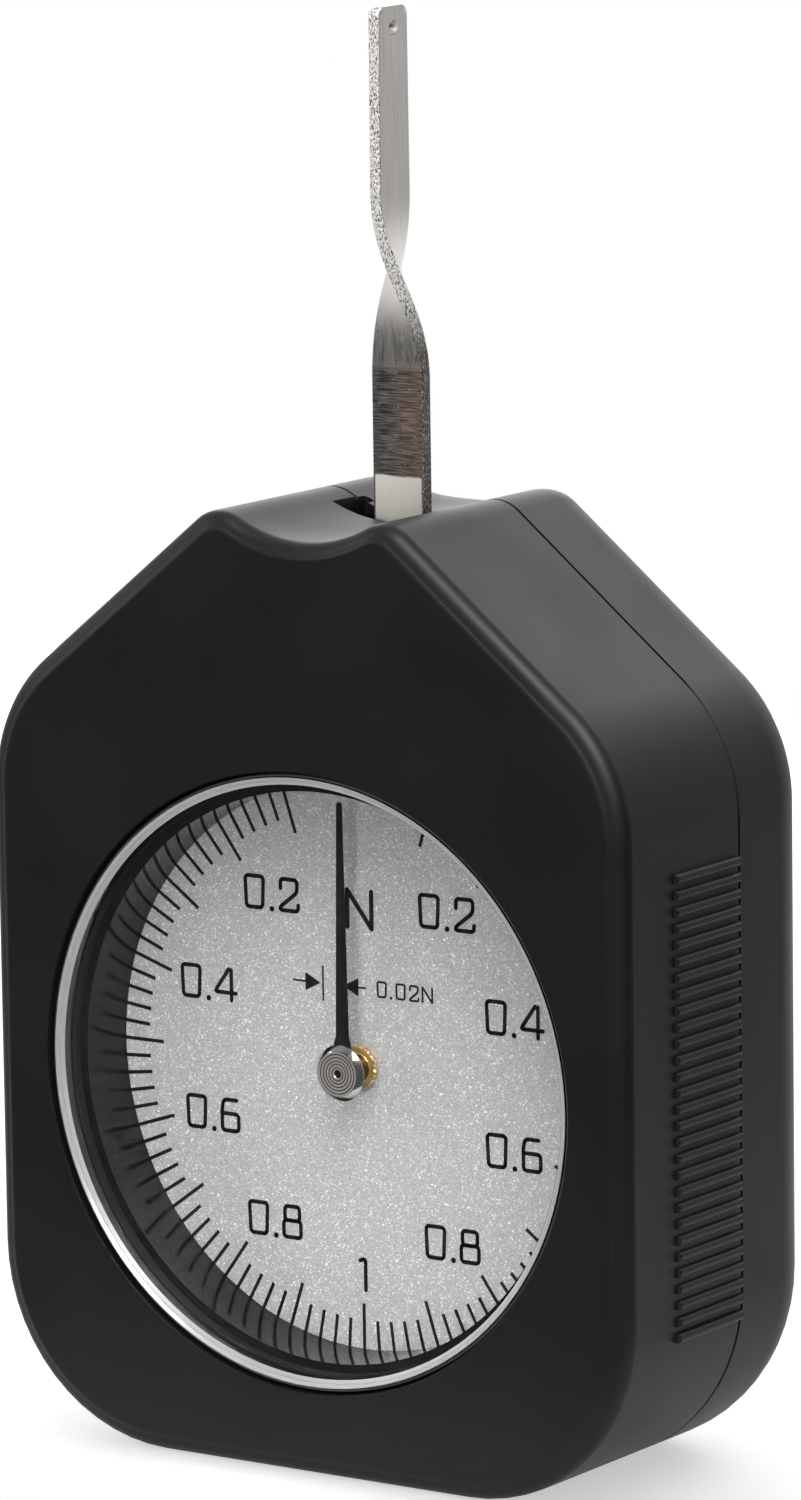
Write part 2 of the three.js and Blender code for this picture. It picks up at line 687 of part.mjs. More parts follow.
// The feeler arm: a flat strip that is twisted a quarter turn half way up
function feelerArm() {
  const bottom = pivotZ + armFoot;
  const stations = [bottom];
  const twistSteps = 2 * cornerSteps;
  for (let i = 0; i <= twistSteps; i += 1) {
    stations.push(THREE.MathUtils.lerp(armTwistStartZ, armTwistEndZ, i / twistSteps));
  }
  for (let i = 0; i <= edgeSteps; i += 1) {
    stations.push(armTop - armTipCorner * (1 - Math.sin(Math.PI / 2 * i / edgeSteps)));
  }
  const strip = new THREE.BoxGeometry(1, 1, stations.length - 1, 1, 1, stations.length - 1);
  const corners = strip.attributes.position;
  for (let i = 0; i < corners.count; i += 1) {
    const station = Math.round(corners.getZ(i) + (stations.length - 1) / 2);
    const z = stations[station];
    const turn = THREE.MathUtils.smoothstep(z, armTwistStartZ, armTwistEndZ);
    const taper = THREE.MathUtils.clamp((z - armTwistEndZ) / (armTop - armTwistEndZ), 0, 1);
    const upperWidth = THREE.MathUtils.lerp(armUpperWidth, armTipWidth, taper);
    const drop = Math.max(z - armTop + armTipCorner, 0);
    const cornerLoss = armTipCorner - Math.sqrt(Math.max(armTipCorner ** 2 - drop ** 2, 0));
    const width = THREE.MathUtils.lerp(armWidth, upperWidth, turn) - 2 * cornerLoss;
    const thickness = THREE.MathUtils.lerp(armThickness, armTipThickness, turn);
    const across = corners.getX(i) * width;
    const through = corners.getY(i) * thickness;
    const angle = -turn * Math.PI / 2;
    corners.setXYZ(
      i,
      across * Math.cos(angle) - through * Math.sin(angle),
      (armFrontY + armBackY) / 2 - turn * armTipForward + across * Math.sin(angle) + through * Math.cos(angle),
      z,
    );
  }
  const holes = armScrewHeights.map((height) => rod(0, pivotZ + height, armScrewRadius + boreFit, frontY, backY));
  const eye = new THREE.CylinderGeometry(armHoleRadius, armHoleRadius, armWidth, shaftSides);
  const eyeY = (armFrontY + armBackY) / 2 - armTipForward;
  holes.push(solid(eye.rotateZ(Math.PI / 2).translate(0, eyeY, armTop - armHoleDrop)));
  place('feeler_arm', solid(strip).subtract(joined(holes)), nickel);
}

function armScrews() {
  for (const [name, height] of [['lower', armScrewHeights[0]], ['upper', armScrewHeights[1]]]) {
    const seatY = armBackY + seatFit;
    const body = screw(0, pivotZ + height, armScrewRadius, armScrewHeadRadius, armScrewHead, leverFrontY, seatY);
    place(`arm_screw_${name}`, body, steel);
  }
}

// The hub goes through the lever, with its flange in front, and carries the measuring spring behind
function leverHub() {
  const flangeBackY = leverFrontY - seatFit;
  const bore = pivotShaftRadius + boreFit;
  const body = ring(0, pivotZ, bore, hubRadius, flangeBackY - hubFlange, flangeBackY + hubLength, pieceSides);
  const flange = ring(0, pivotZ, bore, hubFlangeRadius, flangeBackY - hubFlange, flangeBackY, pieceSides);
  place('lever_hub', body.add(flange), brass);
}

function pivotShaft() {
  place('pivot_shaft', rod(0, pivotZ, pivotShaftRadius, frontPlateFrontY - shaftEnd, rearPlateBackY + shaftEnd), steel);
}

function springPin() {
  const body = rod(0, pivotZ - springPinReach, springPinRadius, leverFrontY, leverBackY + springPinLength);
  place('spring_pin', body, steel);
}

function springPost() {
  const body = rod(0, pivotZ - springPostReach, springPinRadius, leverBackY + springCoilStart, rearPlateFrontY);
  place('spring_post', body, steel);
}

// A hairpin of round wire: one leg up, a coil round the hub, and the other leg down
function measuringSpring() {
  const legX = springPinRadius + springWire + boreFit;
  const startY = armBackY + springCoilStart;
  const endY = startY + springCoilPitch * springCoilTurns;
  const footZ = pivotZ - springLegReach;
  const kneeZ = pivotZ - springPinReach;
  const points = [new THREE.Vector3(-legX, startY, footZ), new THREE.Vector3(-legX, startY, kneeZ)];
  const steps = 8 * springCoilTurns;
  for (let i = 0; i <= steps; i += 1) {
    const angle = Math.PI - 2 * Math.PI * springCoilTurns * i / steps;
    const y = THREE.MathUtils.lerp(startY, endY, i / steps);
    points.push(new THREE.Vector3(springCoilRadius * Math.cos(angle), y, pivotZ + springCoilRadius * Math.sin(angle)));
  }
  points.push(new THREE.Vector3(legX, endY, kneeZ), new THREE.Vector3(legX, endY, footZ));
  const wire = new THREE.Shape().absarc(0, 0, springWire, 0, 2 * Math.PI, false);
  const path = new THREE.CatmullRomCurve3(points, false, 'centripetal');
  const tube = new THREE.ExtrudeGeometry(wire, { steps: 4 * points.length, extrudePath: path, curveSegments: 4 });
  place('measuring_spring', solid(tube), steel);
}

function pointerArbor() {
  const endY = hairspringY + hairspringColletLength + arborNose;
  place('pointer_arbor', rod(0, windowHeight, arborRadius, capBackY - capThickness / 2, endY), steel);
}

function pinion() {
  const step = 2 * Math.PI / pinionTeeth;
  const pointAt = (radius, angle) => [radius * Math.sin(angle), windowHeight + radius * Math.cos(angle)];
  const turn = (pinionTeeth - 1) / 2 * step;
  const points = toothPoints(pinionTeeth, step, pinionPitchRadius, (radius, angle) => pointAt(radius, angle + turn));
  const middleY = (leverFrontY + leverBackY) / 2;
  const body = plate(polygon(points), middleY - pinionLength / 2, middleY + pinionLength / 2);
  place('pinion', body.subtract(rod(0, windowHeight, arborRadius + boreFit, frontY, backY)), brass);
}

// The pointer's collet: a flange just above the dial and a neck up to the pointer
function pointerCollet() {
  const bore = arborRadius + boreFit;
  const flangeY = colletBackY - colletFlange;
  const neckY = pointerBackY + seatFit;
  const profile = [
    [bore, neckY], [colletNeckRadius, neckY], [colletNeckRadius, flangeY],
    [colletFlangeRadius, flangeY], [colletFlangeRadius, colletBackY], [bore, colletBackY], [bore, neckY],
  ];
  place('pointer_collet', turned(0, windowHeight, profile, pieceSides), brass);
}

function pointer() {
  const base = pointerBaseWidth / 2;
  const tip = pointerTipWidth / 2;
  const tipZ = windowHeight + pointerLength;
  const blade = polygon([[-base, windowHeight], [base, windowHeight], [tip, tipZ - tip], [0, tipZ], [-tip, tipZ - tip]]);
  const body = plate(blade, pointerFrontY, pointerBackY)
    .add(rod(0, windowHeight, pointerHubRadius, pointerFrontY, pointerBackY))
    .subtract(rod(0, windowHeight, arborRadius + boreFit, frontY, backY));
  place('pointer', body, pointerBlack);
}

function pointerCap() {
  const bore = arborRadius + boreFit;
  const boreY = capBackY - capThickness / 2 - boreFit;
  const profile = [
    [0, capFrontY], [capRadius - capBevel, capFrontY], [capRadius, capFrontY + capBevel],
    [capRadius, capBackY], [bore, capBackY], [bore, boreY], [0, boreY],
  ];
  place('pointer_cap', turned(0, windowHeight, profile, pieceSides), nickel);
}

function hairspringCollet() {
  const body = ring(0, windowHeight, arborRadius + boreFit, hairspringColletRadius, hairspringY,
    hairspringY + hairspringColletLength);
  place('hairspring_collet', body, brass);
}

// A flat spiral strip that takes up the play between the gears
function hairspring() {
  const steps = hairspringTurns * shaftSides;
  const edge = (offset) => Array.from({ length: steps + 1 }, (unused, i) => {
    const radius = THREE.MathUtils.lerp(hairspringInner, hairspringOuter, i / steps) + offset;
    const angle = 2 * Math.PI * hairspringTurns * i / steps;
    return [radius * Math.cos(angle), windowHeight + radius * Math.sin(angle)];
  });
  const outline = [...edge(hairspringStrip / 2), ...edge(-hairspringStrip / 2).reverse()];
  const y0 = hairspringY + (hairspringColletLength - hairspringHeight) / 2;
  place('hairspring', plate(polygon(outline), y0, y0 + hairspringHeight), steel);
}

function hairspringStud() {
  const x = hairspringOuter + hairspringStrip + hairspringStudRadius;
  const endY = hairspringY + hairspringColletLength;
  place('hairspring_stud', rod(x, windowHeight, hairspringStudRadius, rearPlateBackY, endY), brass);
}

frontShell();
rearShell();
caseScrews();
windowCrystal();
windowGasket();
dialSpacerRing();
dialPlate();
movementPlateFront();
movementPlateRear();
pillars();
movementScrews();
bushes();
stopPins();
sectorLever();
feelerArm();
armScrews();
leverHub();
pivotShaft();
springPin();
springPost();
measuringSpring();
pointerArbor();
pinion();
pointerCollet();
pointer();
pointerCap();
hairspringCollet();
hairspring();
hairspringStud();

export default gauge;
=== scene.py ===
import json
from math import atan2, cos, hypot, pi, radians, sin, sqrt, tan

import bmesh
import bpy
from mathutils import Matrix, Vector
from mathutils.geometry import interpolate_bezier


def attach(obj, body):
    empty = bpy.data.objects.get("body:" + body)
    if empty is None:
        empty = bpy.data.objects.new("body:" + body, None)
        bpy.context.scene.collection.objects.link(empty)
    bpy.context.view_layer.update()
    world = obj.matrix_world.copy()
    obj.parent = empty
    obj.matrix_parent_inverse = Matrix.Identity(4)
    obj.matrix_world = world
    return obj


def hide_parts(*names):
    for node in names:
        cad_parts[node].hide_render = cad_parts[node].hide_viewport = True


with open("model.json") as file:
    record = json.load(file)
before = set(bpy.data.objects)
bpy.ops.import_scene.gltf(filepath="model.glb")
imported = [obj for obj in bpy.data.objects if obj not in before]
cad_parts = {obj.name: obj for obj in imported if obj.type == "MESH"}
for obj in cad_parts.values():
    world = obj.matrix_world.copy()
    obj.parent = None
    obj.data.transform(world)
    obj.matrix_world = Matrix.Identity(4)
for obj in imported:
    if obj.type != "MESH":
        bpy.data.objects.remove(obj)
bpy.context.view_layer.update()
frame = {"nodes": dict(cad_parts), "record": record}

# A dial tension gauge. Lengths are millimetres until a piece is finished, and the dial faces -Y.
MM = 0.001
ALONG_Y = (0, 1, 0)

# Tolerances of the mesh work, and the profile of every rounded edge
MERGE = 0.0005
MIDDLE_MERGE = 0.002
PLANE_MERGE = 0.0001
SAME_PLACE = 0.01
UPRIGHT_RISE = 1
ROUND_PROFILE = 0.5

# Camera, in metres, degrees and millimetres of lens
CAMERA_PLACE = (0.3759, -0.5488, 0.1724)
CAMERA_HEADING = 34.42
CAMERA_DOWN = 9.78
CAMERA_ROLL = -0.80
CAMERA_LENS = 198.3
CAMERA_NEAR = 0.05
CAMERA_FAR = 20

# Studio: the floor and the lamps in metres, the lamps' power in watts
FLOOR_WIDTH = 0.37
FLOOR_DEPTH = 0.352
FLOOR_MIDDLE = (-0.1, 0.144, 0)
FLOOR_GREY = 0.8
FLOOR_GLOW = 0.5
BRIGHT_SIDE = (-0.45, 0.75, 0.45)
ROOM_LEVELS = {"From Min": -0.2, "From Max": 0.9, "To Min": 0.05, "To Max": 1.0}
LAMP_AIM = (0, 0, 0.05)
LAMPS = (
    ("key_lamp", (-0.8, -0.5, 0.4), 0.26, 2.4, {}),
    ("front_lamp", (0.25, -0.97, 0.05), 0.5, 7.2, {"glints": False}),
    ("left_lamp", (-0.5, 0.8, 0.38), 0.5, 2.2, {}),
    ("edge_lamp", (0.42, -0.5, 0.77), 0.4, 20.0, {"colour": False}),
    ("back_lamp", (0.05, 0.85, 0.65), 0.5, 2.0, {}),
)

# Case: its outline's sharp corners, its roundings and its depths
CASE_HALF_WIDTH = 31
CASE_TOP = 78.85
SHOULDER = 61.1
TOP_HALF_WIDTH = 9.05
FOOT_RADIUS = 16
SHOULDER_RADIUS = 13.8
CREST_RADIUS = 3.5
LEAST_RADIUS = 0.02
BEND_STEPS = 14
CREST_STEPS = 8
SCOOP_STEPS = 10
FRONT = -15
BACK = 15
SEAM = 2.3
SEAM_HALF_GAP = 0.08
SEAM_EDGE = 0.16
REAR_SEAM_EDGE = 0.04
SEAM_DEPTH = 0.4
SEAM_TOUCH = SEAM - 0.01
EDGE_INSET = 1.8
EDGE_ROUND = 0.9
EDGE_STEEP = 38
EDGE_LAND = 0.25
EDGE_SLOPE = 15
EDGE_ROUND_STEPS = 5
EDGE_TURN_STEPS = 6
REAR_ROUND = 6.5
REAR_STEPS = 12
WALL_MIDDLE = 1.1
ROOM_OVERRUN = 3
CUT_OVERRUN = 1
SCOOP_DEPTH = 2.15
SCOOP_HALF_WIDTH = 7.3
SCOOP_EDGE_SHARE = 0.8
ARM_SLOT_HALF = 5.8
ARM_SLOT_FRONT = -1.1
ARM_SLOT_BOTTOM = 73.3
ARM_SLOT_CUT_TOP = 90
NOTCH_X = 5.15
NOTCH_WIDTH = 1.0
NOTCH_LENGTH = 1.15
NOTCH_FLAT = 0.02

# Finger grips
RIDGES = 29
RIDGE_PITCH = 1.33
RIDGE_HEIGHT = 0.8
RIDGE_PROUD = 0.4
RIDGE_ROOT = 0.8
RIDGE_ROUND = 0.34
RIDGE_FRONT = -7.6
RIDGE_END_GAP = 0.1

# Window and dial, which share one axis
AXIS_Z = 32.5
RING_STEPS = 180
SMALL_STEPS = 32
CASE_BORE = 25.6
SEAT_CLEARANCE = 0.05
PANE_RADIUS = 25.1
PANE_FRONT = -14.6
PANE_BACK = -12.6
PANE_EDGE = 0.65
PANE_SINK = 0.5
PANE_GAP = 0.02
PANE_RIM = 0.05
SEAL_INNER = 25.16
SEAL_OUTER = 25.35
SEAL_FRONT = -14.45
SEAL_ROUND = 0.1
LEDGE_BACK = -11.55
LEDGE_OVERRUN = 0.5
SIGHT_RADIUS = 24.3
WELL_RADIUS = 23.6
WELL_OUTER = 25.15
WELL_FRONT = -11.5
WELL_BACK = -6.05
DIAL_FRONT = -6
DIAL_BACK = -5.2
DIAL_HOLE = 1.3
DIAL_FOOT_SPREAD = 10
DIAL_FOOT_RADIUS = 1
DIAL_FOOT_ROOT = 0.1
DIAL_FOOT_END = -4.6

# Outlines of turned edges: how much wider the case's bore is at its mouth, by its depth from the front,
# and the fine ridge on the window's slope, outward and forward from the slope's foot
BORE_MOUTH = ((0.5, -0.4), (0.15, 0), (0.03, 0.05), (0, 0.17))
PANE_SLOPE = ((0, 0), (0.26, 0.2), (0.28, 0.15), (0.33, 0.19), (0.36, 0.28))

# Print on the dial: each number stands on both sides, at (x, z) from the case's middle and foot
PRINT_FRONT = -6.02
PRINT_BACK = -5.995
DIVISION_TURN = 3.6
FIRST_DIVISION = 5
LAST_DIVISION = 95
LONG_TICK_EVERY = 5
LONG_TICK_INNER = 19.8
TICK_INNER = 21.2
TICK_OUTER = 23.8
TICK_WIDTH = 0.3
NUMBERS = {"0.2": (8.64, 46.1), "0.4": (15.1, 38.0), "0.6": (14.9, 27.0), "0.8": (8.8, 18.7)}
NUMBER_HEIGHT = 2.6
NUMBER_PEN = 0.35
LAST_NUMBER_PLACE = (0, 15.2)
LAST_NUMBER_HEIGHT = 2.7
UNIT_PLACE = (0.1, 45.6)
UNIT_HEIGHT = 3.05
UNIT_PEN = 0.42
UNIT_ROUNDING = 0.05
SHORTEST_BAR = 0.001
SIGN_GAP_SHARE = 0.24
SIGN_ROUNDING = 0.3
HANDLE_SHARE = 0.45
BEND_POINTS = 5
SIGN_ROUNDING_SHARE = 0.13
POINT_SHARE = 1.35
MARK_Z = 39.1
MARK_TEXT_PLACE = (4.45, 39.15)
MARK_TEXT_HEIGHT = 1.22
MARK_PEN = 0.18
MARK_GAP_SHARE = 0.33
MARK_LINES = (-3.6, -2.0)
MARK_LINE_HALF = 1.45
MARK_LINE_WIDTH = 0.16
MARK_ARROWS = ((-3.85, -6.6, 1), (-1.6, 0.65, -1))
ARROW_WIDTH = 0.17
ARROW_HEAD = 2.0
ARROW_HEAD_SHARE = 0.88

# Pointer: the cap's face is given as (radius, depth behind its front), the collar as (radius, y)
CAP_FRONT = -9.36
CAP_BACK = -8.7
CAP_RADIUS = 2.33
CAP_STEPS = 96
CAP_FACE = (
    (0, 0.16), (0.28, 0.15), (0.34, 0.08), (0.4, 0.02), (0.8, 0.01), (0.85, 0.025), (0.9, 0.01),
    (1.3, 0.01), (1.35, 0.02), (1.4, 0.005), (1.88, 0), (1.92, 0.02),
)
CAP_HOLE = 0.36
CAP_FLAT = 1.88
CAP_SLOPE_DEPTH = 0.38
CAP_RIM = 0.04
CAP_REAR_SLOPE = 0.25
ARBOR_ROOM = -9.17
ARBOR_ROOM_RADIUS = 0.75
NEEDLE_FRONT = -8.65
NEEDLE_BACK = -8.4
NEEDLE_TOP = 54.8
NEEDLE_HALF_WIDTH = 0.6
NEEDLE_EDGE = 0.05
NEEDLE_FLARE_TOP = 2.4
NEEDLE_TAPER_FOOT = 2.6
NEEDLE_NECK = 3.0
NEEDLE_POINT = 0.2
NEEDLE_FLARE_SHARE = 1.3
NEEDLE_TAPER_SHARE = 0.62
NEEDLE_POINT_SHARE = 0.15
NEEDLE_HUB = 1.6
HUB_STEPS = 64
NEEDLE_HUB_EDGE = 0.1
NEEDLE_HUB_EDGE_DEPTH = 0.06
NEEDLE_HOLE = 0.8
COLLAR = (
    (0.85, -8.35), (1.15, -8.35), (1.2, -8.3), (1.2, -6.52), (1.25, -6.48), (1.7, -6.48), (1.8, -6.4),
    (1.8, -6.16), (1.76, -6.12), (0.85, -6.12),
)
COLLAR_NECK_BACK = -6.55
COLLAR_STEPS = 72
KNURL_EVERY = 3
KNURL_INNER = 1.7
KNURL_SHARE = 0.93

# Feeler arm
ARM_BOTTOM = 67.5
ARM_TOP = 118.6
ARM_MIDDLE = 0.6
ARM_WIDTH = 5.0
ARM_THICKNESS = 1.2
ARM_ROUND = 0.14
ARM_LEAN = 1.2
TWIST_START = 88.2
TWIST_END = 103.6
BLADE_WIDTH = 4.3
TIP_WIDTH = 4.1
TIP_THICKNESS = 1.05
TIP_CORNER = 0.8
EYE_HEIGHT = 116.8
EYE_RADIUS = 0.62
EYE_STEPS = 40
ARM_SCREW_HEIGHTS = (69.9, 72.5)
ARM_SCREW_HOLE = 0.7
ARM_CUT_HALF = 4
NARROW_SIDE_FROM = 2
FOOT_STATIONS = 5
FOOT_STATION_PITCH = 4
TWIST_STEPS = 44
BLADE_STATIONS = 4
BLADE_STATION_PITCH = 3
TIP_STEPS = 6

# Stretches of the arm's finish, where its colour holds painted reflections: heights, and places across the
# strip from its middle
PATCH_TOP = 80.5
PATCH_TOP_FADE = 0.15
PATCH_HALF = 2.24
PATCH_SIDE_FADE = 0.08
RULED_TOP = 89.2
RULED_FADE = 0.9
BLACK_REFLECTION_SIDE = -1.4
BROWN_REFLECTION_SIDE = 0.8
ZONE_WOBBLE = 0.6
SHEAR_DULL_TO = TWIST_START + 2
SHEAR_BRIGHT_FROM = TWIST_START + 6

# Case screws
CASE_SCREWS = {"lower": (20.19, 10.85), "upper": (17.52, 60.0)}
SCREW_SLOT_TURNS = {"lower": 25, "upper": -50}
SCREW_STEPS = 64
SCREW_SEAT = 13.45
SCREW_FACE = 14.6
SCREW_TIP = -2.2
SCREW_POINT = 0.7
SCREW_SHANK = 1.1
SCREW_HEAD = 2
SCREW_HEAD_EDGE = 0.05
SCREW_HEAD_ROUND = 0.3
SCREW_SLOT_REACH = 2.5
SCREW_SLOT_HALF = 0.22
SCREW_SLOT_DEPTH = 0.5
SCREW_WELL = 2.25
SCREW_WELL_SLOPE = 0.15


def add_camera():
    """The camera stands where the photograph was taken from."""
    data = bpy.data.cameras.new("camera")
    data.lens = CAMERA_LENS
    data.clip_start = CAMERA_NEAR
    data.clip_end = CAMERA_FAR
    camera = bpy.data.objects.new("camera", data)
    bpy.context.scene.collection.objects.link(camera)
    place = Matrix.Translation(CAMERA_PLACE)
    heading = Matrix.Rotation(radians(CAMERA_HEADING), 4, "Z")
    pitch = Matrix.Rotation(radians(90 - CAMERA_DOWN), 4, "X")
    roll = Matrix.Rotation(radians(CAMERA_ROLL), 4, "Z")
    camera.matrix_world = place @ heading @ pitch @ roll
    bpy.context.scene.camera = camera


def soft_lamp(name, place, width, power, glints=True, colour=True):
    """A square soft lamp, turned to the object. It can leave out glints or plain colour."""
    data = bpy.data.lights.new(name, "AREA")
    data.shape = "SQUARE"
    data.size = width
    data.energy = power
    lamp = bpy.data.objects.new(name, data)
    bpy.context.scene.collection.objects.link(lamp)
    lamp.visible_glossy = glints
    lamp.visible_transmission = glints
    lamp.visible_diffuse = colour
    lamp.location = place
    lamp.rotation_euler = (Vector(LAMP_AIM) - Vector(place)).to_track_quat("-Z", "Y").to_euler()


def seen_directly(tree):
    """1 for rays that come from the camera, a reflection or through glass, else 0."""
    path = tree.nodes.new("ShaderNodeLightPath")
    glossy = tree.nodes.new("ShaderNodeMath")
    glossy.operation = "MAXIMUM"
    tree.links.new(path.outputs["Is Camera Ray"], glossy.inputs[0])
    tree.links.new(path.outputs["Is Glossy Ray"], glossy.inputs[1])
    through = tree.nodes.new("ShaderNodeMath")
    through.operation = "MAXIMUM"
    tree.links.new(glossy.outputs["Value"], through.inputs[0])
    tree.links.new(path.outputs["Is Transmission Ray"], through.inputs[1])
    return through.outputs["Value"]


def add_world():
    """White to the camera. To the object, a room dark in front and bright above and behind on the left."""
    world = bpy.data.worlds.new("studio")
    world.use_nodes = True
    tree = world.node_tree
    background = tree.nodes["Background"]
    background.inputs["Color"].default_value = (1, 1, 1, 1)
    toward = tree.nodes.new("ShaderNodeVectorMath")
    toward.operation = "DOT_PRODUCT"
    toward.inputs[1].default_value = BRIGHT_SIDE
    tree.links.new(tree.nodes.new("ShaderNodeTexCoord").outputs["Generated"], toward.inputs[0])
    room = tree.nodes.new("ShaderNodeMapRange")
    room.interpolation_type = "SMOOTHSTEP"
    for end, value in ROOM_LEVELS.items():
        room.inputs[end].default_value = value
    tree.links.new(toward.outputs["Value"], room.inputs["Value"])
    path = tree.nodes.new("ShaderNodeLightPath")
    level = tree.nodes.new("ShaderNodeMath")
    level.operation = "MAXIMUM"
    tree.links.new(room.outputs["Result"], level.inputs[0])
    tree.links.new(path.outputs["Is Camera Ray"], level.inputs[1])
    tree.links.new(level.outputs["Value"], background.inputs["Strength"])
    bpy.context.scene.world = world


def add_floor():
    """A pale floor that looks white and keeps the object's shadow."""
    bm = bmesh.new()
    bmesh.ops.create_grid(bm, x_segments=1, y_segments=1, size=0.5)
    bmesh.ops.scale(bm, vec=(FLOOR_WIDTH, FLOOR_DEPTH, 1), verts=bm.verts)
    bmesh.ops.translate(bm, vec=FLOOR_MIDDLE, verts=bm.verts)
    mesh = bpy.data.meshes.new("floor")
    bm.to_mesh(mesh)
    bm.free()
    floor = bpy.data.objects.new("floor", mesh)
    bpy.context.scene.collection.objects.link(floor)
    paper = bpy.data.materials.new("floor paper")
    paper.use_nodes = True
    tree = paper.node_tree
    shader = tree.nodes["Principled BSDF"]
    shader.inputs["Base Color"].default_value = (FLOOR_GREY, FLOOR_GREY, FLOOR_GREY, 1)
    shader.inputs["Roughness"].default_value = 0.9
    shader.inputs["Emission Color"].default_value = (1, 1, 1, 1)
    glow = tree.nodes.new("ShaderNodeMath")
    glow.operation = "MULTIPLY"
    glow.inputs[1].default_value = FLOOR_GLOW
    tree.links.new(seen_directly(tree), glow.inputs[0])
    tree.links.new(glow.outputs["Value"], shader.inputs["Emission Strength"])
    mesh.materials.append(paper)


def add_lamps():
    for name, place, width, power, leaves_out in LAMPS:
        soft_lamp(name, place, width, power, **leaves_out)
    bpy.context.scene.view_settings.view_transform = "Standard"


# Finishes, with the depths of their relief in metres

FAINT_RELIEF = 0.00001
FINE_RELIEF = 0.00002
DIAL_RELIEF = 0.00003
SHEARED_RELIEF = 0.0002


def new_effect(name, numbers, outputs):
    """An empty node group with a Vector input, number inputs (name, default) and number outputs."""
    group = bpy.data.node_groups.new(name, "ShaderNodeTree")
    group.interface.new_socket("Vector", in_out="INPUT", socket_type="NodeSocketVector")
    for label, default in numbers:
        socket = group.interface.new_socket(label, in_out="INPUT", socket_type="NodeSocketFloat")
        socket.default_value = default
    for label in outputs:
        group.interface.new_socket(label, in_out="OUTPUT", socket_type="NodeSocketFloat")
    return group, group.nodes.new("NodeGroupInput").outputs, group.nodes.new("NodeGroupOutput").inputs


def moulded_grain():
    """A fine grain for the surface, and a slow mottle for colour and gloss."""
    scales = [("Grain Scale", 4000), ("Mottle Scale", 60)]
    group, given, result = new_effect("moulded grain", scales, ["Grain", "Mottle"])
    for kind, detail in (("Grain", 3), ("Mottle", 4)):
        noise = group.nodes.new("ShaderNodeTexNoise")
        noise.inputs["Detail"].default_value = detail
        group.links.new(given["Vector"], noise.inputs["Vector"])
        group.links.new(given[kind + " Scale"], noise.inputs["Scale"])
        group.links.new(noise.outputs["Fac"], result[kind])
    return group


def brushed_lines():
    """Lines drawn out along Z: fine ones, and broad ones for the colour."""
    group, given, result = new_effect("brushed lines", [("Along", 60), ("Across", 4000)], ["Lines", "Shade"])
    stretch = group.nodes.new("ShaderNodeCombineXYZ")
    group.links.new(given["Across"], stretch.inputs["X"])
    group.links.new(given["Across"], stretch.inputs["Y"])
    group.links.new(given["Along"], stretch.inputs["Z"])
    scaled = group.nodes.new("ShaderNodeVectorMath")
    scaled.operation = "MULTIPLY"
    group.links.new(given["Vector"], scaled.inputs[0])
    group.links.new(stretch.outputs["Vector"], scaled.inputs[1])
    for kind, scale, detail in (("Lines", 1.0, 4), ("Shade", 0.2, 2)):
        noise = group.nodes.new("ShaderNodeTexNoise")
        noise.inputs["Scale"].default_value = scale
        noise.inputs["Detail"].default_value = detail
        group.links.new(scaled.outputs["Vector"], noise.inputs["Vector"])
        group.links.new(noise.outputs["Fac"], result[kind])
    return group


class Finish:
    """A material in the making, with short ways to place and join its nodes."""

    def __init__(self, name, metallic=0.0):
        self.material = bpy.data.materials.new(name)
        self.material.use_nodes = True
        self.tree = self.material.node_tree
        self.shader = self.tree.nodes["Principled BSDF"]
        self.shader.inputs["Metallic"].default_value = metallic
        self.place = self.tree.nodes.new("ShaderNodeTexCoord").outputs["Object"]

    def node(self, kind, inputs, **settings):
        """A new node, with its inputs set to values or joined to outputs."""
        node = self.tree.nodes.new(kind)
        for key, value in settings.items():
            setattr(node, key, value)
        for key, value in inputs.items():
            if isinstance(value, bpy.types.NodeSocket):
                self.tree.links.new(value, node.inputs[key])
            else:
                node.inputs[key].default_value = value
        return node

    def effect(self, group, inputs):
        """The outputs of a shared effect, on Object coordinates unless the inputs give a Vector."""
        return self.node("ShaderNodeGroup", {"Vector": self.place, **inputs}, node_tree=group).outputs

    def worked(self, operation, *values):
        """A number worked out from others by one operation."""
        return self.node("ShaderNodeMath", dict(enumerate(values)), operation=operation).outputs["Value"]

    def tones(self, factor, stops):
        """Colours along a factor, from stops of a place and a grey or a colour."""
        ramp = self.node("ShaderNodeValToRGB", {"Fac": factor})
        elements = ramp.color_ramp.elements
        while len(elements) < len(stops):
            elements.new(0.5)
        for element, (place, tone) in zip(elements, stops):
            element.position = place
            element.color = (*tone, 1) if isinstance(tone, tuple) else (tone, tone, tone, 1)
        return ramp.outputs["Color"]

    def spread(self, value, low, high, start=0.3, end=0.7):
        """A number that runs from low to high while a value runs from start to end."""
        ends = {"Value": value, "From Min": start, "From Max": end, "To Min": low, "To Max": high}
        return self.node("ShaderNodeMapRange", ends).outputs["Result"]

    def mixed(self, factor, under, over):
        """A colour that goes from one to another with a factor."""
        node = self.node("ShaderNodeMix", {}, data_type="RGBA")
        self.tree.links.new(factor, node.inputs[0])
        for socket, value in ((node.inputs[6], under), (node.inputs[7], over)):
            if isinstance(value, bpy.types.NodeSocket):
                self.tree.links.new(value, socket)
            else:
                socket.default_value = (*value, 1)
        return node.outputs[2]

    def use(self, output, socket):
        self.tree.links.new(output, self.shader.inputs[socket])

    def relief(self, height, distance, strength):
        """A bumpy surface from a height, with its depth in metres."""
        bump = self.node("ShaderNodeBump", {"Height": height, "Distance": distance, "Strength": strength})
        self.use(bump.outputs["Normal"], "Normal")


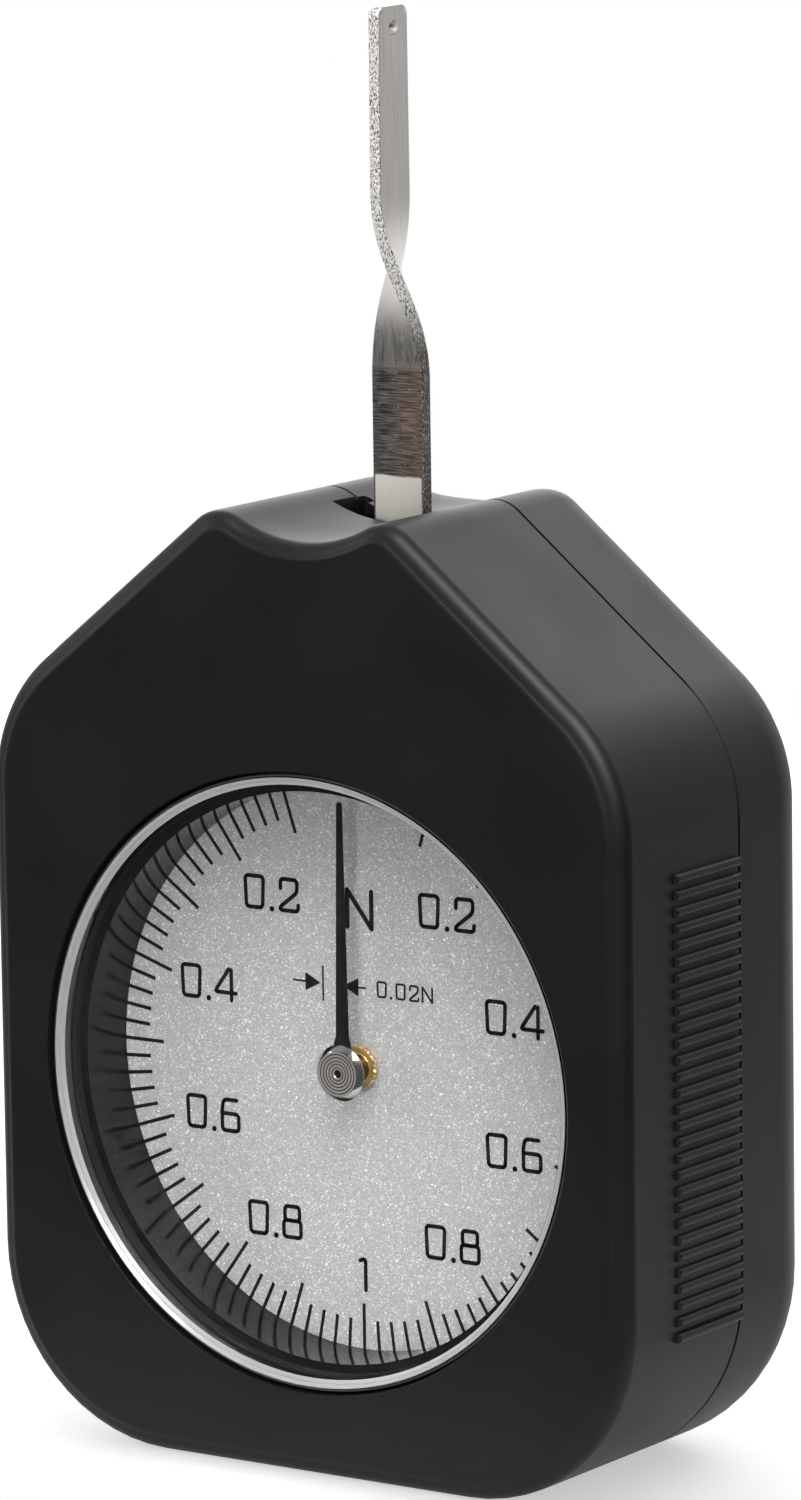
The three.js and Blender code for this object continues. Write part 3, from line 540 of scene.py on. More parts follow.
def plastic_finish(
    name, dark, light, rough, specular, grain=5200, mottle=70, depth=FINE_RELIEF, strength=0.5, metallic=0.0
):
    """A grained surface with a slow mottle in its colour and its gloss."""
    finish = Finish(name, metallic)
    finish.shader.inputs["Specular IOR Level"].default_value = specular
    noise = finish.effect(GRAIN, {"Grain Scale": grain, "Mottle Scale": mottle})
    finish.use(finish.tones(noise["Mottle"], [(0.3, dark), (0.7, light)]), "Base Color")
    finish.use(finish.spread(noise["Mottle"], rough - 0.04, rough + 0.04), "Roughness")
    finish.relief(noise["Grain"], depth, strength)
    return finish.material


def metal_finish(name, dark, light, rough, along=60, across=4200, strength=0.35, metallic=1.0):
    """Bare metal with fine lines along Z."""
    finish = Finish(name, metallic)
    lines = finish.effect(LINES, {"Along": along, "Across": across})
    finish.use(finish.tones(lines["Shade"], [(0.35, dark), (0.65, light)]), "Base Color")
    finish.use(finish.spread(lines["Lines"], rough * 0.8, rough * 1.2), "Roughness")
    finish.relief(lines["Lines"], FINE_RELIEF, strength)
    return finish.material


def dial_finish():
    """Silver paint with bright flakes."""
    finish = Finish("silver dial paint", metallic=0.1)
    flakes = finish.node("ShaderNodeTexVoronoi", {"Vector": finish.place, "Scale": 9000.0})
    flake = finish.node("ShaderNodeSeparateColor", {"Color": flakes.outputs["Color"]}).outputs
    noise = finish.effect(GRAIN, {"Grain Scale": 2600, "Mottle Scale": 40})
    colour = finish.tones(flake["Red"], [(0.0, 0.3), (0.6, 0.4), (0.9, 0.5), (1.0, 0.95)])
    calm = finish.spread(noise["Grain"], 0.0, 0.5)
    finish.use(finish.mixed(calm, colour, (0.36, 0.355, 0.348)), "Base Color")
    finish.use(finish.spread(flake["Green"], 0.35, 0.6, 0.0, 1.0), "Roughness")
    finish.relief(noise["Grain"], DIAL_RELIEF, 0.4)
    return finish.material


def pane_finish():
    """Clear acrylic that lets light fall through to the dial."""
    finish = Finish("clear window")
    finish.shader.inputs["IOR"].default_value = 1.49
    finish.shader.inputs["Transmission Weight"].default_value = 1
    noise = finish.effect(GRAIN, {"Grain Scale": 400, "Mottle Scale": 30})
    tint = finish.tones(noise["Mottle"], [(0.3, (0.97, 0.98, 0.98)), (0.7, (0.99, 0.995, 0.995))])
    finish.use(tint, "Base Color")
    finish.use(finish.spread(noise["Mottle"], 0.0, 0.03), "Roughness")
    tree = finish.tree
    path = tree.nodes.new("ShaderNodeLightPath")
    open_way = tree.nodes.new("ShaderNodeBsdfTransparent")
    mix = tree.nodes.new("ShaderNodeMixShader")
    tree.links.new(path.outputs["Is Shadow Ray"], mix.inputs["Fac"])
    tree.links.new(finish.shader.outputs["BSDF"], mix.inputs[1])
    tree.links.new(open_way.outputs["BSDF"], mix.inputs[2])
    tree.links.new(mix.outputs["Shader"], tree.nodes["Material Output"].inputs["Surface"])
    return finish.material


def turned_finish():
    """Nickel with fine rings round the dial's axis, as a lathe leaves them."""
    finish = Finish("turned nickel", metallic=0.55)
    to_axis = {"Vector": finish.place, "Location": (0, 0, -AXIS_Z * MM), "Scale": (1, 0, 1)}
    centred = finish.node("ShaderNodeMapping", to_axis)
    rings = finish.node(
        "ShaderNodeTexWave",
        {"Vector": centred.outputs["Vector"], "Scale": 1150.0, "Distortion": 0.08, "Detail": 0.0},
        wave_type="RINGS", rings_direction="SPHERICAL",
    ).outputs["Fac"]
    finish.use(finish.tones(rings, [(0.2, (0.11, 0.098, 0.092)), (0.8, (0.31, 0.285, 0.272))]), "Base Color")
    finish.use(finish.spread(rings, 0.22, 0.36, 0.0, 1.0), "Roughness")
    finish.relief(rings, FINE_RELIEF, 0.12)
    return finish.material


def sheared_finish():
    """The strip's sheared edge: short bright scratches that lean, on a darker ground below the twist."""
    finish = Finish("sheared nickel", metallic=0.35)
    lean = {"Vector": finish.place, "Rotation": (0.6, 0.5, 0), "Scale": (1.5, 1.5, 0.7)}
    leaning = finish.node("ShaderNodeMapping", lean).outputs["Vector"]
    scratches = finish.effect(GRAIN, {"Vector": leaning, "Grain Scale": 5200, "Mottle Scale": 6000})
    bright = finish.tones(scratches["Mottle"], [(0.39, (0.12, 0.1, 0.085)), (0.5, (0.97, 0.945, 0.91))])
    dull = finish.tones(scratches["Mottle"], [(0.5, (0.08, 0.065, 0.055)), (0.68, (0.6, 0.56, 0.52))])
    height = finish.node("ShaderNodeSeparateXYZ", {"Vector": finish.place}).outputs["Z"]
    above = finish.spread(height, 0, 1, SHEAR_DULL_TO * MM, SHEAR_BRIGHT_FROM * MM)
    finish.use(finish.mixed(above, dull, bright), "Base Color")
    finish.use(finish.spread(scratches["Grain"], 0.2, 0.5), "Roughness")
    finish.relief(scratches["Mottle"], SHEARED_RELIEF, 0.9)
    return finish.material


def arm_finish():
    """The strip's nickel: brushed above; below the twist a dark cross-ruled stretch that is a painted dark
    reflection, and a pale matt patch near the case that is a painted bright reflection.
    """
    finish = Finish("arm nickel with painted reflections")
    lines = finish.effect(LINES, {"Along": 160, "Across": 8000})
    satin = finish.tones(lines["Lines"], [(0.35, (0.67, 0.64, 0.605)), (0.65, (0.82, 0.79, 0.755))])
    ruled = finish.effect(LINES, {"Along": 9000, "Across": 500})
    axes = finish.node("ShaderNodeSeparateXYZ", {"Vector": finish.place}).outputs
    # Painted reflection: the stretch below the twist is coloured black to brown across the strip, as the dark
    # surroundings it reflects.
    black_reflection = finish.tones(ruled["Lines"], [(0.42, (0.06, 0.055, 0.05)), (0.62, (0.3, 0.285, 0.27))])
    brown_reflection = finish.tones(ruled["Lines"], [(0.42, (0.14, 0.1, 0.075)), (0.6, (0.42, 0.33, 0.27))])
    dark = finish.mixed(finish.spread(axes["X"], 0, 1, BLACK_REFLECTION_SIDE * MM, BROWN_REFLECTION_SIDE * MM), black_reflection, brown_reflection)
    pits = finish.effect(GRAIN, {"Grain Scale": 3800, "Mottle Scale": 3800})["Mottle"]
    dark = finish.mixed(finish.spread(pits, 0, 1, 0.66, 0.7), dark, (0.85, 0.83, 0.8))
    wobble = finish.effect(GRAIN, {"Grain Scale": 900, "Mottle Scale": 400})["Mottle"]
    height = finish.worked("MULTIPLY_ADD", wobble, ZONE_WOBBLE * MM, axes["Z"])
    below_twist = finish.spread(height, 1, 0, RULED_TOP * MM, (RULED_TOP + RULED_FADE) * MM)
    # Painted reflection: a pale, less metallic patch near the case, coloured as a bright reflection.
    in_patch = finish.spread(height, 1, 0, PATCH_TOP * MM, (PATCH_TOP + PATCH_TOP_FADE) * MM)
    off_middle = finish.worked("ABSOLUTE", axes["X"])
    inside = finish.spread(off_middle, 1, 0, PATCH_HALF * MM, (PATCH_HALF + PATCH_SIDE_FADE) * MM)
    patch = finish.worked("MULTIPLY", in_patch, inside)
    colour = finish.mixed(patch, finish.mixed(below_twist, satin, dark), (0.93, 0.88, 0.81))
    finish.use(colour, "Base Color")
    zones = finish.worked("ADD", patch, below_twist)
    finish.use(finish.spread(zones, 1.0, 0.25, 0.0, 2.0), "Metallic")
    finish.use(finish.spread(lines["Lines"], 0.27, 0.42), "Roughness")
    finish.relief(lines["Lines"], FINE_RELIEF, 0.35)
    return finish.material


GRAIN = moulded_grain()
LINES = brushed_lines()

CASE_BLACK = plastic_finish(
    "black case plastic", (0.0066, 0.0068, 0.0072), (0.0094, 0.0097, 0.0101), 0.5, 0.25
)
SEAL_BLACK = plastic_finish("black seal", 0.012, 0.02, 0.35, 0.4, grain=3000, mottle=200, depth=FAINT_RELIEF)
# The seal's black rubber is lightened to dark grey here, partly as a painted highlight on its lip.
SEAL_LIP_HIGHLIGHT_GREY = plastic_finish("seal lip grey with painted highlight", 0.05, 0.08, 0.3, 0.4, grain=3000, mottle=200, depth=FAINT_RELIEF)
PRINT_BLACK = plastic_finish(
    "black print", 0.004, 0.008, 0.5, 0.1, grain=6000, mottle=900, depth=FAINT_RELIEF
)
NEEDLE_BLACK = plastic_finish("black needle paint", 0.004, 0.007, 0.4, 0.15, grain=4500, mottle=500)
EDGE_PALE = plastic_finish(
    "bevelled window edge", (0.5, 0.495, 0.485), (0.58, 0.575, 0.565), 0.34, 0.4,
    grain=900, mottle=90, strength=0.2, metallic=0.16,
)
WALL_BLACK = plastic_finish(
    "polished black wall", 0.005, 0.008, 0.07, 0.25, grain=900, mottle=120, strength=0.06
)
DIAL_SILVER = dial_finish()
CLEAR = pane_finish()
TURNED_NICKEL = turned_finish()
SATIN_NICKEL = metal_finish("satin nickel", (0.42, 0.4, 0.37), (0.56, 0.54, 0.51), 0.34, along=90)
ARM_NICKEL = arm_finish()
SHEARED_NICKEL = sheared_finish()
STEEL = metal_finish(
    "machined steel", (0.4, 0.4, 0.41), (0.56, 0.56, 0.56), 0.32, along=2500, across=2500
)
SPRING_STEEL = metal_finish(
    "drawn spring wire", (0.2, 0.2, 0.22), (0.36, 0.36, 0.38), 0.28, along=3000, across=3000
)
BRIGHT_NICKEL = metal_finish(
    "polished nickel", (0.6, 0.58, 0.56), (0.78, 0.76, 0.74), 0.1, across=60, strength=0.0
)
BRONZE = metal_finish(
    "dark bronze", (0.14, 0.085, 0.055), (0.3, 0.2, 0.14), 0.18, along=300, across=2600, strength=0.1
)
BRASS = metal_finish(
    "machined brass", (0.6, 0.4, 0.15), (0.74, 0.52, 0.22), 0.22,
    along=300, across=1600, strength=0.08, metallic=0.65,
)

SLOT_FINISHES = {
    "case_plastic": CASE_BLACK,
    "inner_black": WALL_BLACK,
    "seal_rubber": SEAL_BLACK,
    "clear_crystal": CLEAR,
    "dial_silver": DIAL_SILVER,
    "pointer_black": NEEDLE_BLACK,
    "nickel": SATIN_NICKEL,
    "steel": STEEL,
    "spring_steel": SPRING_STEEL,
    "brass": BRASS,
}


def finish_inner_parts():
    """Gives each node of the frame the finish of its slot in the record."""
    for subpart in frame["record"]["subparts"]:
        mesh = frame["nodes"][subpart["node"]].data
        mesh.materials.clear()
        mesh.materials.append(SLOT_FINISHES[subpart["material_slot"]])


# Shapes

def make_piece(name, bm, finishes, body, stands_for=(), sharp=32, weighted=False):
    """Turns a closed bmesh in millimetres into a piece in metres that rides on a body."""
    bmesh.ops.remove_doubles(bm, verts=bm.verts, dist=MERGE)
    bmesh.ops.recalc_face_normals(bm, faces=bm.faces)
    bmesh.ops.scale(bm, vec=(MM, MM, MM), verts=bm.verts)
    mesh = bpy.data.meshes.new(name)
    bm.to_mesh(mesh)
    bm.free()
    mesh.shade_smooth()
    mesh.set_sharp_from_angle(angle=radians(sharp))
    for finish in finishes if isinstance(finishes, tuple) else (finishes,):
        mesh.materials.append(finish)
    piece = bpy.data.objects.new(name, mesh)
    bpy.context.scene.collection.objects.link(piece)
    if weighted:
        normals = piece.modifiers.new("flat faces", "WEIGHTED_NORMAL")
        normals.keep_sharp = True
        normals.weight = 80
    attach(piece, body)
    if stands_for:
        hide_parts(*stands_for)
    return piece


def turn_profile(bm, profile, x=0, z=AXIS_Z, steps=RING_STEPS, closed=True):
    """Spins [radius, y] points about a line along Y. An open profile starts and ends on that line."""
    verts = [bm.verts.new((x + radius, y, z)) for radius, y in profile]
    edges = [bm.edges.new(pair) for pair in zip(verts, verts[1:])]
    if closed:
        edges.append(bm.edges.new((verts[-1], verts[0])))
    bmesh.ops.spin(
        bm, geom=verts + edges, cent=(x, 0, z), axis=ALONG_Y, angle=2 * pi, steps=steps, use_merge=True
    )
    bmesh.ops.remove_doubles(bm, verts=bm.verts, dist=MERGE)


def bore(x, z, profile, steps=48):
    """A round bar along Y, from [radius, y] points front to back. It cuts a bore, or is a piece itself."""
    bm = bmesh.new()
    turn_profile(bm, [(0, profile[0][1]), *profile, (0, profile[-1][1])], x, z, steps, closed=False)
    return bm


def add_block(bm, x0, x1, y0, y1, z0, z1):
    """A block between its ends along X, Y and Z, added to a bmesh."""
    verts = bmesh.ops.create_cube(bm, size=1)["verts"]
    bmesh.ops.scale(bm, vec=(x1 - x0, y1 - y0, z1 - z0), verts=verts)
    bmesh.ops.translate(bm, vec=((x0 + x1) / 2, (y0 + y1) / 2, (z0 + z1) / 2), verts=verts)
    return verts


def block(*ends):
    bm = bmesh.new()
    add_block(bm, *ends)
    return bm


def round_edges(bm, edges, radius, segments):
    """Rounds edges of a bmesh."""
    bmesh.ops.bevel(
        bm, geom=edges, offset=radius, segments=segments, profile=ROUND_PROFILE, affect="EDGES", material=-1
    )


def cut_across(bm, height):
    """New edges round a bmesh where a level plane meets it."""
    everything = bm.verts[:] + bm.edges[:] + bm.faces[:]
    bmesh.ops.bisect_plane(
        bm, geom=everything, plane_co=(0, 0, height), plane_no=(0, 0, 1), dist=PLANE_MERGE
    )


def is_upright(edge):
    """True for an edge that rises along Z by more than UPRIGHT_RISE."""
    lower, upper = edge.verts
    return abs(lower.co.z - upper.co.z) > UPRIGHT_RISE


def loose_object(bm):
    """A plain object for a boolean, from a bmesh that is used up."""
    bmesh.ops.remove_doubles(bm, verts=bm.verts, dist=MERGE)
    bmesh.ops.recalc_face_normals(bm, faces=bm.faces)
    mesh = bpy.data.meshes.new("blank")
    bm.to_mesh(mesh)
    bm.free()
    blank = bpy.data.objects.new("blank", mesh)
    bpy.context.scene.collection.objects.link(blank)
    return blank


def carved(bm, tools, operation="DIFFERENCE"):
    """Cuts tools out of a solid, or joins them to it, one after another. Each tool is used up."""
    blank = loose_object(bm)
    for tool_bm in tools:
        tool = loose_object(tool_bm)
        cut = blank.modifiers.new("cut", "BOOLEAN")
        cut.operation = operation
        cut.solver = "EXACT"
        cut.object = tool
        evaluated = blank.evaluated_get(bpy.context.evaluated_depsgraph_get())
        result = bpy.data.meshes.new_from_object(evaluated)
        blank.modifiers.clear()
        blank.data = result
        bpy.data.objects.remove(tool)
    solid = bmesh.new()
    solid.from_mesh(blank.data)
    bpy.data.objects.remove(blank)
    return solid


def frame_copy(node):
    """A merged copy of a frame node, in millimetres."""
    bm = bmesh.new()
    bm.from_mesh(frame["nodes"][node].data)
    bmesh.ops.scale(bm, vec=(1 / MM, 1 / MM, 1 / MM), verts=bm.verts)
    bmesh.ops.remove_doubles(bm, verts=bm.verts, dist=MERGE)
    return bm


# Case

def scoop_at(inset, follows):
    """Radius and bottom of the scoop: it follows an inset, or stays until the top has come down to it."""
    if follows:
        whole = (SCOOP_HALF_WIDTH**2 + SCOOP_DEPTH**2) / (2 * SCOOP_DEPTH)
        return whole + SCOOP_EDGE_SHARE * inset, CASE_TOP - SCOOP_DEPTH - SCOOP_EDGE_SHARE * inset
    depth = max(SCOOP_DEPTH - inset, LEAST_RADIUS)
    return (SCOOP_HALF_WIDTH**2 + depth**2) / (2 * depth), CASE_TOP - inset - depth


def outline_half(bm, inset, y, follows):
    """The right half of the case's outline, moved in by an inset: from the foot up to the scoop's bottom."""
    slope = atan2(CASE_HALF_WIDTH - TOP_HALF_WIDTH, CASE_TOP - SHOULDER)
    out = Vector((cos(slope), sin(slope)))
    down = Vector((out.y, -out.x))
    arcs = []
    for x, z, radius, start, stop in (
        (CASE_HALF_WIDTH, 0, FOOT_RADIUS, -pi / 2, 0),
        (CASE_HALF_WIDTH, SHOULDER, SHOULDER_RADIUS, 0, slope),
    ):
        left = max(radius - inset, LEAST_RADIUS)
        middle = (start + stop) / 2
        reach = (inset + left) / cos((stop - start) / 2)
        arcs.append(((x - reach * cos(middle), z - reach * sin(middle)), left, start, stop, BEND_STEPS))
    scoop_radius, scoop_bottom = scoop_at(inset, follows)
    scoop_centre = Vector((0, scoop_bottom + scoop_radius))
    crest = max(CREST_RADIUS - inset, LEAST_RADIUS)
    depth = out.dot(scoop_centre) - (out.dot(Vector((TOP_HALF_WIDTH, CASE_TOP))) - inset - crest)
    crest_centre = scoop_centre - depth * out + sqrt((scoop_radius + crest) ** 2 - depth**2) * down
    toward = scoop_centre - crest_centre
    meeting = atan2(toward.y, toward.x)
    arcs.append((crest_centre, crest, slope, meeting, CREST_STEPS))
    arcs.append((scoop_centre, scoop_radius, meeting - pi, -pi / 2, SCOOP_STEPS))
    end = bm.verts.new((0, y, inset))
    edges = []
    for (x, z), radius, start, stop, steps in arcs:
        first = bm.verts.new((x + radius * cos(start), y, z + radius * sin(start)))
        edges.append(bm.edges.new((end, first)))
        known = set(bm.edges)
        swept = bmesh.ops.spin(
            bm, geom=[first], cent=(x, y, z), axis=(0, -1, 0), angle=stop - start, steps=steps
        )
        edges += [edge for edge in bm.edges if edge not in known]
        end = next(item for item in swept["geom_last"] if isinstance(item, bmesh.types.BMVert))
    return edges


def case_solid(levels, follows=True):
    """A solid of the case's outline through levels of (inset, y)."""
    bm = bmesh.new()
    chains = [outline_half(bm, inset, y, follows) for inset, y in levels]
    for lower, upper in zip(chains, chains[1:]):
        bmesh.ops.bridge_loops(bm, edges=lower + upper)
    everything = bm.verts[:] + bm.edges[:] + bm.faces[:]
    bmesh.ops.mirror(bm, geom=everything, axis="X", merge_dist=MIDDLE_MERGE)
    bmesh.ops.remove_doubles(bm, verts=bm.verts, dist=MERGE)
    bmesh.ops.holes_fill(bm, edges=[edge for edge in bm.edges if edge.is_boundary], sides=0)
    return bm


def front_edge():
    """Levels down the front edge: a small round, a shallow slope, and a larger round into the side."""
    lean = radians(EDGE_SLOPE)
    steep = radians(EDGE_STEEP)
    levels = []
    for turn in (steep * i / EDGE_ROUND_STEPS for i in range(EDGE_ROUND_STEPS + 1)):
        levels.append((EDGE_INSET - EDGE_ROUND * sin(turn), FRONT + EDGE_ROUND * (1 - cos(turn))))
    inset = EDGE_INSET - EDGE_ROUND * sin(steep) - EDGE_LAND
    depth = levels[-1][1] + EDGE_LAND * tan(lean)
    large = inset / (1 - sin(lean))
    for turn in (lean + (pi / 2 - lean) * i / EDGE_TURN_STEPS for i in range(EDGE_TURN_STEPS + 1)):
        levels.append((large * (1 - sin(turn)), depth + large * (cos(lean) - cos(turn))))
    return levels


def grip_ridges(side):
    """A row of rounded bars that stand out of one side of the case."""
    bm = bmesh.new()
    crest = side * (CASE_HALF_WIDTH + RIDGE_PROUD)
    ends = sorted((side * (CASE_HALF_WIDTH - RIDGE_ROOT), crest))
    rear = SEAM - SEAM_HALF_GAP - RIDGE_END_GAP
    for i in range(RIDGES):
        z = AXIS_Z + (i - (RIDGES - 1) / 2) * RIDGE_PITCH
        add_block(bm, *ends, RIDGE_FRONT, rear, z - RIDGE_HEIGHT / 2, z + RIDGE_HEIGHT / 2)
    edges = [edge for edge in bm.edges if all(abs(vert.co.x - crest) < SAME_PLACE for vert in edge.verts)]
    round_edges(bm, edges, RIDGE_ROUND, segments=4)
    return bm


def make_front_case():
    """The front shell with its grips. Inside, it follows the frame's own shell."""
    end = SEAM - SEAM_HALF_GAP
    closing = [(SEAM_DEPTH, end), (SEAM_DEPTH, SEAM_TOUCH)]
    solid = case_solid([*front_edge(), (0, end - SEAM_EDGE), (SEAM_EDGE, end), *closing])
    hollow = case_solid([(WALL_MIDDLE, FRONT + WALL_MIDDLE), (WALL_MIDDLE, SEAM + ROOM_OVERRUN)])
    room = carved(hollow, [frame_copy("front_shell")])
    mouth = [(CASE_BORE + wider, FRONT + depth) for wider, depth in BORE_MOUTH]
    window = bore(0, AXIS_Z, [*mouth, (CASE_BORE, PANE_BACK + SEAT_CLEARANCE)], RING_STEPS)
    sight_ends = [(SIGHT_RADIUS, PANE_BACK - CUT_OVERRUN), (SIGHT_RADIUS, LEDGE_BACK + LEDGE_OVERRUN)]
    sight = bore(0, AXIS_Z, sight_ends, RING_STEPS)
    slot = block(-ARM_SLOT_HALF, ARM_SLOT_HALF, ARM_SLOT_FRONT, BACK, ARM_SLOT_BOTTOM, ARM_SLOT_CUT_TOP)
    solid = carved(solid, [room, window, sight, slot])
    solid = carved(solid, [grip_ridges(-1), grip_ridges(1)], "UNION")
    make_piece("case_front", solid, CASE_BLACK, "case", ["front_shell"], weighted=True)


def slot_notch(side):
    """A short groove with a round end in the rear edge of the arm's slot."""
    middle = side * NOTCH_X
    half = NOTCH_WIDTH / 2
    rear = SEAM + NOTCH_LENGTH
    top = CASE_TOP + CUT_OVERRUN
    groove = block(middle - half, middle + half, SEAM - CUT_OVERRUN, rear, ARM_SLOT_BOTTOM, top)
    ends = [
        edge for edge in groove.edges
        if all(vert.co.y > SEAM for vert in edge.verts) and is_upright(edge)
    ]
    round_edges(groove, ends, half - NOTCH_FLAT, segments=6)
    return groove


def make_rear_case():
    """The rear shell with the wells of its screws. Inside, it follows the frame's own shell."""
    start = SEAM + SEAM_HALF_GAP
    turns = [pi / 2 / REAR_STEPS * i for i in range(REAR_STEPS + 1)]
    outside = [(REAR_ROUND * (1 - cos(turn)), BACK - REAR_ROUND * (1 - sin(turn))) for turn in turns]
    opening = [(SEAM_DEPTH, SEAM_TOUCH), (SEAM_DEPTH, start)]
    opening += [(REAR_SEAM_EDGE, start), (0, start + REAR_SEAM_EDGE)]
    solid = case_solid([*opening, *outside], follows=False)
    shrunk = REAR_ROUND - WALL_MIDDLE
    inside = [
        (REAR_ROUND - shrunk * cos(turn), BACK - REAR_ROUND + shrunk * sin(turn)) for turn in turns[::3]
    ]
    hollow = case_solid([(WALL_MIDDLE, SEAM - ROOM_OVERRUN), *inside])
    cuts = [carved(hollow, [frame_copy("rear_shell")])]
    well = [
        (SCREW_WELL, SCREW_SEAT - SCREW_HEAD_EDGE), (SCREW_WELL, BACK - SCREW_WELL_SLOPE),
        (SCREW_WELL + SCREW_WELL_SLOPE, BACK),
        (SCREW_WELL + 3 * SCREW_WELL_SLOPE, BACK + 2 * SCREW_WELL_SLOPE),
    ]
    for x, z in CASE_SCREWS.values():
        cuts += [bore(side * x, z, well) for side in (-1, 1)]
    solid = carved(solid, [*cuts, slot_notch(-1), slot_notch(1)])
    make_piece("case_back", solid, CASE_BLACK, "case", ["rear_shell"], weighted=True)


def make_case_screws():
    """Slotted cheese-head screws with a rounded rim."""
    profile = [
        (SCREW_POINT, SCREW_TIP), (SCREW_SHANK, SCREW_TIP + SCREW_SHANK - SCREW_POINT),
        (SCREW_SHANK, SCREW_SEAT), (SCREW_HEAD - SCREW_HEAD_EDGE, SCREW_SEAT),
        (SCREW_HEAD, SCREW_SEAT + SCREW_HEAD_EDGE), (SCREW_HEAD, SCREW_FACE - SCREW_HEAD_ROUND),
        (SCREW_HEAD - 0.3 * SCREW_HEAD_ROUND, SCREW_FACE - SCREW_HEAD_ROUND / 3),
        (SCREW_HEAD - SCREW_HEAD_ROUND, SCREW_FACE),
    ]
    bottom = SCREW_FACE - SCREW_SLOT_DEPTH
    for level, (x, z) in CASE_SCREWS.items():
        for side, sign in (("left", -1), ("right", 1)):
            ends = (sign * x - SCREW_SLOT_REACH, sign * x + SCREW_SLOT_REACH)
            heights = (z - SCREW_SLOT_HALF, z + SCREW_SLOT_HALF)
            slot = block(*ends, bottom, SCREW_FACE + CUT_OVERRUN, *heights)
            twist = Matrix.Rotation(radians(SCREW_SLOT_TURNS[level]) * sign, 3, "Y")
            bmesh.ops.rotate(slot, cent=(sign * x, 0, z), matrix=twist, verts=slot.verts)
            screw = carved(bore(sign * x, z, profile, SCREW_STEPS), [slot])
            node = f"case_screw_{level}_{side}"
            make_piece(f"back_screw_{level}_{side}", screw, STEEL, "case", [node])


# Window and dial

def make_window():
    """The pane, its pale sloping edge, the lip of its seal, and the black wall down to the dial."""
    inner = PANE_RADIUS - PANE_EDGE
    face = PANE_FRONT + PANE_SINK
    pane = bore(0, AXIS_Z, [(inner - PANE_GAP, face), (inner - PANE_GAP, PANE_BACK)], RING_STEPS)
    pane.normal_update()
    for side in pane.faces:
        side.material_index = int(abs(side.normal.y) < 0.3)
    make_piece("window_pane", pane, (CLEAR, WALL_BLACK), "case", ["window_crystal"])
    edge = bmesh.new()
    turn_profile(edge, [
        *((inner + outward, face - forward) for outward, forward in PANE_SLOPE),
        (PANE_RADIUS - 1.6 * PANE_RIM, PANE_FRONT), (PANE_RADIUS - 0.6 * PANE_RIM, PANE_FRONT),
        (PANE_RADIUS, PANE_FRONT + PANE_RIM), (PANE_RADIUS, PANE_BACK), (inner, PANE_BACK),
    ])
    edge.normal_update()
    for side in edge.faces:
        hidden = side.calc_center_median().y > face + PANE_SINK
        side.material_index = int(abs(side.normal.y) < 0.3 or hidden)
    make_piece("window_edge", edge, (EDGE_PALE, WALL_BLACK), "case", sharp=20)
    # The lip is dark grey, partly a painted highlight on black rubber.
    seal = bmesh.new()
    turn_profile(seal, [
        (SEAL_INNER, SEAL_FRONT + SEAL_ROUND), (SEAL_INNER + 0.4 * SEAL_ROUND, SEAL_FRONT),
        (SEAL_OUTER - 0.5 * SEAL_ROUND, SEAL_FRONT), (SEAL_OUTER, SEAL_FRONT + SEAL_ROUND),
        (SEAL_OUTER, PANE_BACK), (SEAL_INNER, PANE_BACK),
    ])
    make_piece("window_seal", seal, SEAL_LIP_HIGHLIGHT_GREY, "case", ["window_gasket"])
    well = bmesh.new()
    turn_profile(well, [
        (WELL_RADIUS, WELL_FRONT), (WELL_OUTER, WELL_FRONT),
        (WELL_OUTER, WELL_BACK), (WELL_RADIUS, WELL_BACK),
    ])
    make_piece("dial_well", well, WALL_BLACK, "case", ["dial_spacer_ring"])


def make_dial():
    """The silver disc, with its hole for the arbor and two feet behind it."""
    dial = bmesh.new()
    turn_profile(dial, [
        (DIAL_HOLE, DIAL_FRONT), (WELL_OUTER, DIAL_FRONT), (WELL_OUTER, DIAL_BACK), (DIAL_HOLE, DIAL_BACK),
    ])
    foot = [(DIAL_FOOT_RADIUS, DIAL_BACK - DIAL_FOOT_ROOT), (DIAL_FOOT_RADIUS, DIAL_FOOT_END)]
    for side in (-1, 1):
        dial = carved(dial, [bore(side * DIAL_FOOT_SPREAD, AXIS_Z, foot, SMALL_STEPS)], "UNION")
    make_piece("dial_face", dial, DIAL_SILVER, "case", ["dial_plate"])


def add_bar(bm, start, end, width):
    """A printed bar between two (x, z) points."""
    length = hypot(end[0] - start[0], end[1] - start[1])
    if length < SHORTEST_BAR:
        return
    lean = atan2(end[1] - start[1], end[0] - start[0])
    verts = bmesh.ops.create_cube(bm, size=1)["verts"]
    bmesh.ops.scale(bm, vec=(length, PRINT_BACK - PRINT_FRONT, width), verts=verts)
    bmesh.ops.rotate(bm, cent=(0, 0, 0), matrix=Matrix.Rotation(-lean, 3, "Y"), verts=verts)
    middle = ((start[0] + end[0]) / 2, (PRINT_FRONT + PRINT_BACK) / 2, (start[1] + end[1]) / 2)
    bmesh.ops.translate(bm, vec=middle, verts=verts)


def add_dot(bm, place, width, corners=12, turn=0.0):
    """A printed round dot, or with three corners an arrow head that points along a turn from +X."""
    depth = PRINT_BACK - PRINT_FRONT
    cone = bmesh.ops.create_cone(
        bm, cap_ends=True, segments=corners, radius1=width / 2, radius2=width / 2, depth=depth
    )
    verts = cone["verts"]
    bmesh.ops.rotate(bm, cent=(0, 0, 0), matrix=Matrix.Rotation(pi / 2, 3, "X"), verts=verts)
    bmesh.ops.rotate(bm, cent=(0, 0, 0), matrix=Matrix.Rotation(pi / 2 - turn, 3, "Y"), verts=verts)
    bmesh.ops.translate(bm, vec=(place[0], (PRINT_FRONT + PRINT_BACK) / 2, place[1]), verts=verts)
    return verts


